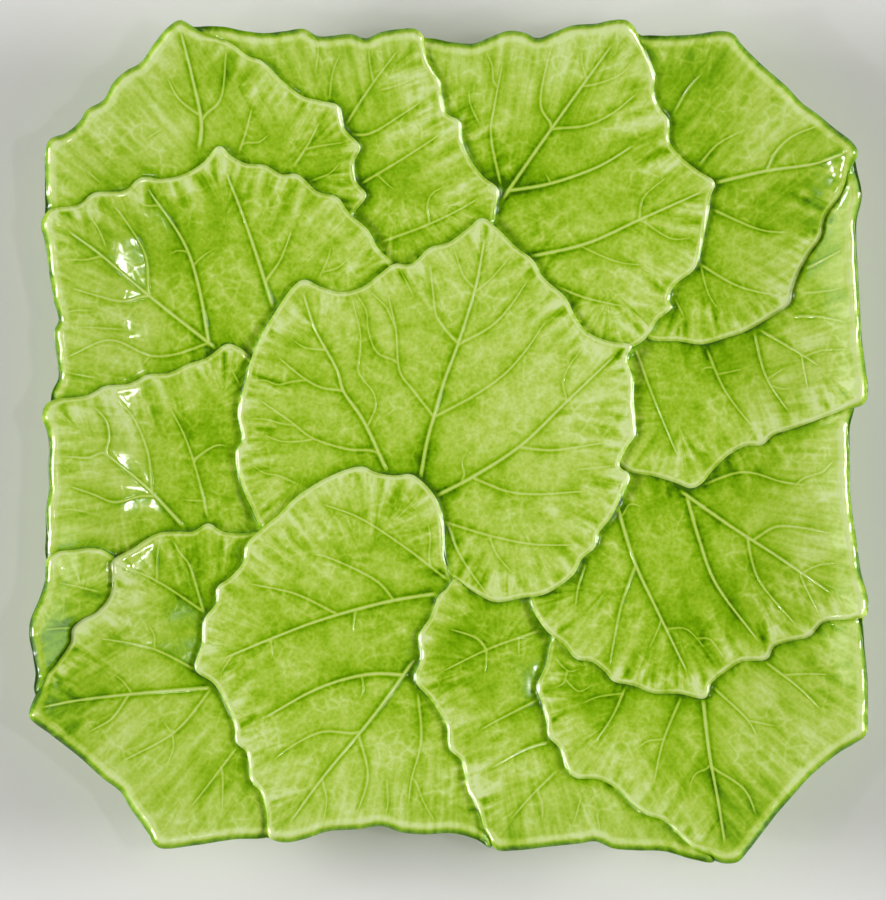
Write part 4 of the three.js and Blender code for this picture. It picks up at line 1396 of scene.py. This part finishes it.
def glaze_stops(colours):
    shades = (
        colours.thin, colours.pale, colours.light, colours.body, colours.deep, colours.pool, colours.darkest_shade
    )
    return [(i / (len(shades) - 1), (*shade, 1.0)) for i, shade in enumerate(shades)]


def finish_glaze(nodes, colours, depth, relief):
    """Colour the glaze by its depth, and give it its gloss."""
    place = nodes.plan()
    colour = nodes.shaded(glaze_stops(colours), (depth - THINNEST) / DEPTH_SPAN)
    roughness = colours.roughness + 0.08 * nodes.clouds(place, 4.0)
    normal = nodes.bumped(relief + 0.004 * nodes.clouds(place, 1.1))
    nodes.surface({"Base Color": colour, "Roughness": roughness, "IOR": GLAZE_IOR, "Normal": normal})


def leaf_glaze(colours):
    """Glaze on the leaves: pale on veins, lips and a fine net, dark in hollows and below the steps, with
    painted shadow below the steps and painted shade beside veins, on the rim's outside and at its foot.
    """
    material, nodes = new_material("leaf_glaze")
    edge = nodes.mark("edge")
    lip = nodes.mark("lip")
    lap = nodes.mark("lap")
    rim = nodes.mark("rim")
    place = nodes.plan()
    rim_zone = nodes.mark("outward").rising(0.62, 0.88)
    patches = nodes.clouds(place, 9.0).rising(-0.1, 0.15)
    net = 1 - nodes.cracks(nodes.bent(place, 4.0, 3.6), 3.8).rising(0.0, 0.2)
    fine_net = 1 - nodes.cracks(nodes.bent(place, 2.5, 1.2), 1.7).rising(0.0, 0.3)
    along = nodes.mark("sweep")
    flecks = nodes.streaks(along, edge, 0.8, 0.2)
    combs = nodes.streaks(along, edge, 0.36, 0.09)
    fingers = nodes.streaks(along, edge, 0.2, 0.07)
    runs = nodes.clouds(nodes.outward(place, 1.6, 14.0), 1.0)
    brim = edge.fading(9.0)
    streaked = edge.fading(10.0) * lip.rising(0.8, 1.8) * (1 - 0.6 * rim)
    pale_lip = lip.rising(0.4, 0.8) * (1 - lip.rising(0.95, 1.4))
    # Painted shade on the outer face of an edge: strong on the plate's rim, slight on the steps
    outer_lip_shade = 1 - lip.rising(0.1, 0.7)
    grain = 0.6 * nodes.clouds(place, 2.6) + 0.4 * nodes.clouds(place, 0.9)
    vein = nodes.mark("vein")
    # Line by line, what deepens the glaze or paints shade on it, and what thins it
    depth = (
        LEAF_DEPTH
        # pooled glaze, with the ring of painted shade at the rim's foot
        + nodes.mark("pool")
        + 0.32 * nodes.mark("hollow")
        # painted shade and gathered glaze in a line along each side of a vein
        + 0.28 * nodes.mark("vein_pool_and_shade")
        - 0.25 * nodes.mark("tooth")
        # pooled glaze below a step with painted shadow: a dark line at the step and a broad darkening
        # beyond it
        + 0.18 * lap.fading(0.6)
        + 0.45 * lap.fading(1.6)
        + 0.1 * lap.fading(6.0)
        # painted shade on the outer face of the edges, strongest on the rim
        + (0.1 + 0.7 * rim) * outer_lip_shade
        - 0.16 * brim
        - 0.3 * pale_lip
        + 0.4 * nodes.clouds(place, 26.0)
        + 0.6 * nodes.clouds(place, 8.0)
        + grain * (1.0 - 0.65 * rim_zone)
        + (0.4 * flecks + (1.7 + 2.8 * patches) * combs + 0.8 * fingers) * streaked
        + 0.9 * runs * rim_zone
        - 0.2 * net * patches
        - 0.08 * fine_net
    )
    finish_glaze(nodes, colours, depth - 0.85 * vein * (0.1 + depth), 0.006 * net)
    return material


def dish_glaze(colours):
    """Glaze on the dish's plain underside."""
    material, nodes = new_material("dish_glaze")
    place = nodes.plan()
    depth = UNDERSIDE_DEPTH + 0.5 * nodes.clouds(place, 30.0) + 0.25 * nodes.clouds(place, 5.0)
    finish_glaze(nodes, colours, depth, 0.06 * nodes.clouds(place, 9.0))
    return material


def foot_clay(colours):
    """Bare fired clay, wiped clean of glaze."""
    material, nodes = new_material("foot_clay")
    place = nodes.plan()
    shade = 0.5 + 0.5 * nodes.clouds(place, 12.0) + 0.4 * nodes.clouds(place, 0.8)
    stops = [(0.0, (*colours.clay_dark, 1.0)), (1.0, (*colours.clay, 1.0))]
    colour = nodes.shaded(stops, shade)
    roughness = 0.8 + 0.2 * nodes.clouds(place, 2.0)
    normal = nodes.bumped(0.12 * nodes.clouds(place, 0.5, 4.0))
    nodes.surface({"Base Color": colour, "Roughness": roughness, "Normal": normal})
    return material


def floor_paint(colour):
    material, nodes = new_material("floor_paint")
    nodes.surface({"Base Color": (*colour, 1.0), "Roughness": 0.9})
    return material


def add_piece(name, shell, material, node):
    """Put a shell into the scene as a piece that stands for a node of the frame."""
    mesh = bpy.data.meshes.new(name)
    mesh.from_pydata((shell.points * MM).tolist(), [], shell.faces)
    if mesh.validate():
        raise RuntimeError(name + " has faces that don't hold together")
    for mark, values in shell.marks.items():
        layer = mesh.attributes.new(mark, "FLOAT", "POINT")
        layer.data.foreach_set("value", values.astype(np.float32))
    mesh.shade_smooth()
    mesh.materials.append(material)
    piece = bpy.data.objects.new(name, mesh)
    bpy.context.scene.collection.objects.link(piece)
    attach(piece, "root")
    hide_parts(node)


def shown(red, green, blue):
    """A colour as a screen shows it, 0 to 255, in the light-linear numbers that materials hold."""
    shares = [channel / 255 for channel in (red, green, blue)]
    return tuple(s / 12.92 if s <= 0.04045 else ((s + 0.055) / 1.055) ** 2.4 for s in shares)


def number_setting(name, description, default, **more):
    return FloatProperty(name=name, description=description, default=default, min=0.0, **more)


def size_setting(name, description, millimetres):
    return number_setting(name, description, millimetres * MM, unit="LENGTH", precision=5)


def distance_setting(name, description, metres):
    return number_setting(name, description, metres, unit="LENGTH")


def power_setting(name, description, watts):
    return number_setting(name, description, watts, unit="POWER")


def angle_setting(name, description, degrees):
    return number_setting(name, description, math.radians(degrees), subtype="ANGLE")


def vector_setting(name, description, default, **more):
    return FloatVectorProperty(
        name=name, description=description, default=default, size=len(default), **more
    )


def colour_setting(name, description, shade):
    return vector_setting(name, description, shade, min=0.0, max=1.0, subtype="COLOR")


def sides_setting(name, description, metres):
    return vector_setting(name, description, metres, min=0.0, unit="LENGTH")


def direction_setting(name, description, degrees):
    radians = tuple(math.radians(angle) for angle in degrees)
    return vector_setting(name, description, radians, unit="ROTATION")


class LeafPlateSizes(bpy.types.PropertyGroup):
    """Sizes of the fine form."""

    mesh_step: size_setting("Mesh step", "Spacing of the points over a leaf", 0.5)
    tuck: size_setting("Tuck", "How far a leaf reaches below the one that lies over it", 0.6)
    rim_lip: size_setting("Rim lip", "Width of the rounded edge on the plate's rim", 2.4)
    step_lip: size_setting("Step lip", "Width of the bevelled edge where leaf lies on leaf", 1.0)
    bevel_slope: number_setting("Bevel slope", "Fall of that bevel for its width", 0.7)
    edge_curl: size_setting("Edge curl", "How far a leaf's edge stands up before it rounds over", 0.1)
    fillet: size_setting("Fillet", "Width of the glaze that fills the corner below a step", 1.0)
    fillet_rise: size_setting("Fillet rise", "Height of that glaze at the step", 0.45)
    vein_width: size_setting("Vein width", "Width of a main vein at its base", 1.25)
    vein_height: size_setting("Vein height", "Height of a main vein at its base", 0.25)
    hollow_depth: size_setting("Hollow depth", "How far a leaf dips beside a main vein", 0.22)
    hollow_reach: size_setting("Hollow reach", "How far that dip reaches to each side", 2.4)
    swell: size_setting("Swell", "Height of the leaves' soft unevenness", 0.18)
    ripple: size_setting("Ripple", "Height of the ripple along a leaf's edge", 0.12)
    rim_wave: size_setting("Rim wave", "Height of the waves in the plate's rim", 0.4)
    dish_inset: size_setting("Dish inset", "How far the dish's edge lies inside the leaves' edges", 0.4)
    dish_crown: size_setting("Dish crown", "Radius of the dish's edge on its upper side", 0.4)
    foot_wall: size_setting("Foot wall", "Thickness of the foot", 6.0)
    foot_rounding: size_setting("Foot rounding", "Radius of the foot's lower edges", 1.6)


class LeafPlateColours(bpy.types.PropertyGroup):
    """Colours of the glaze from thin to pooled, whose dark end also carries painted shade, and of the bare
    clay.
    """

    thin: colour_setting("Thinnest glaze", "Where the glaze breaks palest", shown(218, 235, 160))
    pale: colour_setting("Pale glaze", "Thin glaze on veins and lips", shown(206, 228, 130))
    light: colour_setting("Light glaze", "Thin glaze near the edges", shown(186, 213, 84))
    body: colour_setting("Body glaze", "Glaze over most of a leaf", shown(158, 196, 38))
    deep: colour_setting("Deep glaze", "Thick glaze in the hollows", shown(128, 176, 4))
    # Dark stop for glaze pooled below a step, which also carries the painted shadow there
    pool: colour_setting("Pooled glaze", "Glaze that has run together below a step", shown(98, 147, 0))
    # Darkest stop of the glaze colours: painted shade on the outside of the rim, also reached where pooled
    # glaze and painted shadow stack below a step
    darkest_shade: colour_setting("Run glaze", "Glaze that has run down the outside of the rim", shown(64, 106, 0))
    clay: colour_setting("Clay", "Bare fired clay", shown(222, 205, 170))
    clay_dark: colour_setting("Dark clay", "Bare clay where it is stained", shown(186, 160, 120))
    roughness: number_setting("Roughness", "How far the gloss is blurred", 0.1, max=1.0, subtype="FACTOR")


class LeafPlateStage(bpy.types.PropertyGroup):
    """Floor, lamps and camera."""

    floor_colour: colour_setting("Floor", "Colour of the plain floor", shown(232, 231, 228))
    world_light: number_setting("World light", "Even light from the sides", 0.3)
    lamp_distance: distance_setting("Lamp distance", "Distance of the strip and the small lamps", 2.4)
    fill_distance: distance_setting("Fill distance", "Distance of the wide lamps, behind the others", 2.8)
    fill_power: power_setting("Fill power", "Power of each wide lamp", 20)
    fill_size: sides_setting("Fill size", "Sides of each wide lamp", (2.8, 1.3))
    fill_elevation: angle_setting("Fill elevation", "How high the wide lamps stand", 25)
    strip_power: power_setting("Strip power", "Power of each strip lamp", 40)
    strip_size: sides_setting("Strip size", "Sides of each strip lamp", (1.0, 0.45))
    strip_elevation: angle_setting("Strip elevation", "How high the strip lamps stand", 21)
    small_power: power_setting("Small power", "Power of each small lamp", 2.8)
    small_size: sides_setting("Small size", "Sides of each small lamp", (0.1, 0.1))
    small_left: direction_setting("Small left", "Turn and elevation of the left small lamp", (196, 44.5))
    small_right: direction_setting("Small right", "Turn and elevation of the right small lamp", (-6, 69))
    camera_distance: distance_setting("Camera distance", "Distance of the camera above", 2.5)


class LEAFPLATE_OT_leaves(bpy.types.Operator):
    """Build the fourteen leaves"""

    bl_idname = "leafplate.leaves"
    bl_label = "Leaves"

    def execute(self, context):
        sizes = context.scene.leaf_plate_sizes
        material = leaf_glaze(context.scene.leaf_plate_colours)
        for name, leaf in draw_leaves().items():
            add_piece("glazed_" + name, leaf_shell(leaf, sizes), material, name)
        return {"FINISHED"}


class LEAFPLATE_OT_dish(bpy.types.Operator):
    """Build the dish under the leaves"""

    bl_idname = "leafplate.dish"
    bl_label = "Dish"

    def execute(self, context):
        shell = dish_shell(draw_leaves(), context.scene.leaf_plate_sizes)
        material = dish_glaze(context.scene.leaf_plate_colours)
        add_piece("glazed_dish", shell, material, "dish")
        return {"FINISHED"}


class LEAFPLATE_OT_foot(bpy.types.Operator):
    """Build the foot ring"""

    bl_idname = "leafplate.foot"
    bl_label = "Foot"

    def execute(self, context):
        shell = foot_shell(context.scene.leaf_plate_sizes)
        material = foot_clay(context.scene.leaf_plate_colours)
        add_piece("rounded_foot_ring", shell, material, "foot_ring")
        return {"FINISHED"}


def add_floor(colour):
    half = FLOOR_SIZE / 2
    mesh = bpy.data.meshes.new("floor")
    corners = [(-half, -half, 0), (half, -half, 0), (half, half, 0), (-half, half, 0)]
    mesh.from_pydata(corners, [], [(0, 1, 2, 3)])
    mesh.materials.append(floor_paint(colour))
    floor = bpy.data.objects.new("floor", mesh)
    bpy.context.scene.collection.objects.link(floor)


def add_lamp(name, direction, size, power, distance):
    """A soft lamp in a direction, given as turn and elevation, which faces the plate's middle."""
    turn, elevation = direction
    data = bpy.data.lights.new(name, "AREA")
    data.shape = "RECTANGLE"
    data.size, data.size_y = size
    data.energy = power
    lamp = bpy.data.objects.new(name, data)
    level = math.cos(elevation) * distance
    lamp.location = (level * math.cos(turn), level * math.sin(turn), math.sin(elevation) * distance)
    lamp.rotation_euler = (-lamp.location).to_track_quat("-Z", "Y").to_euler()
    bpy.context.scene.collection.objects.link(lamp)


def add_camera(distance):
    """A camera high above, a little to the front and right, which sees the photograph's frame."""
    data = bpy.data.cameras.new("camera")
    data.sensor_fit = "VERTICAL"
    data.sensor_height = SENSOR
    data.lens = PIXELS_PER_METRE * SENSOR * distance / FRAME_HEIGHT
    camera = bpy.data.objects.new("camera", data)
    aim_x = (FRAME_WIDTH / 2 - MIDDLE_PIXEL[0]) / PIXELS_PER_METRE
    aim_y = (MIDDLE_PIXEL[1] - FRAME_HEIGHT / 2) / PIXELS_PER_METRE
    aim = Vector((aim_x, aim_y, (CAD_BOX[1].z + CAD_BOX[0].z) / 2))
    camera.rotation_euler = (CAMERA_TILT, CAMERA_LEAN, 0)
    camera.location = aim + camera.rotation_euler.to_matrix() @ Vector((0, 0, distance))
    bpy.context.scene.collection.objects.link(camera)
    bpy.context.scene.camera = camera


def light_world(strength):
    """Even light from the sides that fades towards the top, so that the gloss stays clear."""
    world = bpy.data.worlds.new("studio")
    world.use_nodes = True
    nodes = Nodes(world.node_tree)
    direction = nodes.add("ShaderNodeTexCoord", {}, {}, "Generated")
    height = nodes.add("ShaderNodeSeparateXYZ", {}, {"Vector": direction}, "Z")
    fade = strength * (WORLD_BRIM - height.rising(*WORLD_FADE))
    light = nodes.add("ShaderNodeBackground", {}, {"Color": (1.0, 1.0, 1.0, 1.0), "Strength": fade})
    nodes.add("ShaderNodeOutputWorld", {}, {"Surface": light})
    bpy.context.scene.world = world


class LEAFPLATE_OT_stage(bpy.types.Operator):
    """Set the floor, the lamps and the camera"""

    bl_idname = "leafplate.stage"
    bl_label = "Stage"

    def execute(self, context):
        stage = context.scene.leaf_plate_stage
        add_floor(stage.floor_colour)
        for name, turn, small in (("left", math.pi, stage.small_left), ("right", 0.0, stage.small_right)):
            fill = (turn, stage.fill_elevation)
            strip = (turn, stage.strip_elevation)
            add_lamp("fill_" + name, fill, stage.fill_size, stage.fill_power, stage.fill_distance)
            add_lamp("strip_" + name, strip, stage.strip_size, stage.strip_power, stage.lamp_distance)
            add_lamp("small_" + name, small, stage.small_size, stage.small_power, stage.lamp_distance)
        light_world(stage.world_light)
        add_camera(stage.camera_distance)
        context.scene.view_settings.view_transform = "Standard"
        return {"FINISHED"}


OPERATORS = (LEAFPLATE_OT_stage, LEAFPLATE_OT_foot, LEAFPLATE_OT_dish, LEAFPLATE_OT_leaves)
SETTINGS = {
    "leaf_plate_sizes": LeafPlateSizes,
    "leaf_plate_colours": LeafPlateColours,
    "leaf_plate_stage": LeafPlateStage,
}


class LEAFPLATE_PT_panel(bpy.types.Panel):
    """Lists the pieces and their settings"""

    bl_label = "Leaf plate"
    bl_space_type = "VIEW_3D"
    bl_region_type = "UI"
    bl_category = "Leaf plate"

    def draw(self, context):
        for operator in OPERATORS:
            self.layout.operator(operator.bl_idname)
        for name, group in SETTINGS.items():
            box = self.layout.box()
            settings = getattr(context.scene, name)
            for field in group.__annotations__:
                box.prop(settings, field)


CLASSES = (*SETTINGS.values(), *OPERATORS, LEAFPLATE_PT_panel)


def register():
    for kind in CLASSES:
        bpy.utils.register_class(kind)
    for name, group in SETTINGS.items():
        setattr(bpy.types.Scene, name, PointerProperty(type=group))


def unregister():
    for name in SETTINGS:
        delattr(bpy.types.Scene, name)
    for kind in reversed(CLASSES):
        bpy.utils.unregister_class(kind)


def main():
    register()
    bpy.ops.leafplate.stage()
    bpy.ops.leafplate.foot()
    bpy.ops.leafplate.dish()
    bpy.ops.leafplate.leaves()


if __name__ == "__main__":
    main()
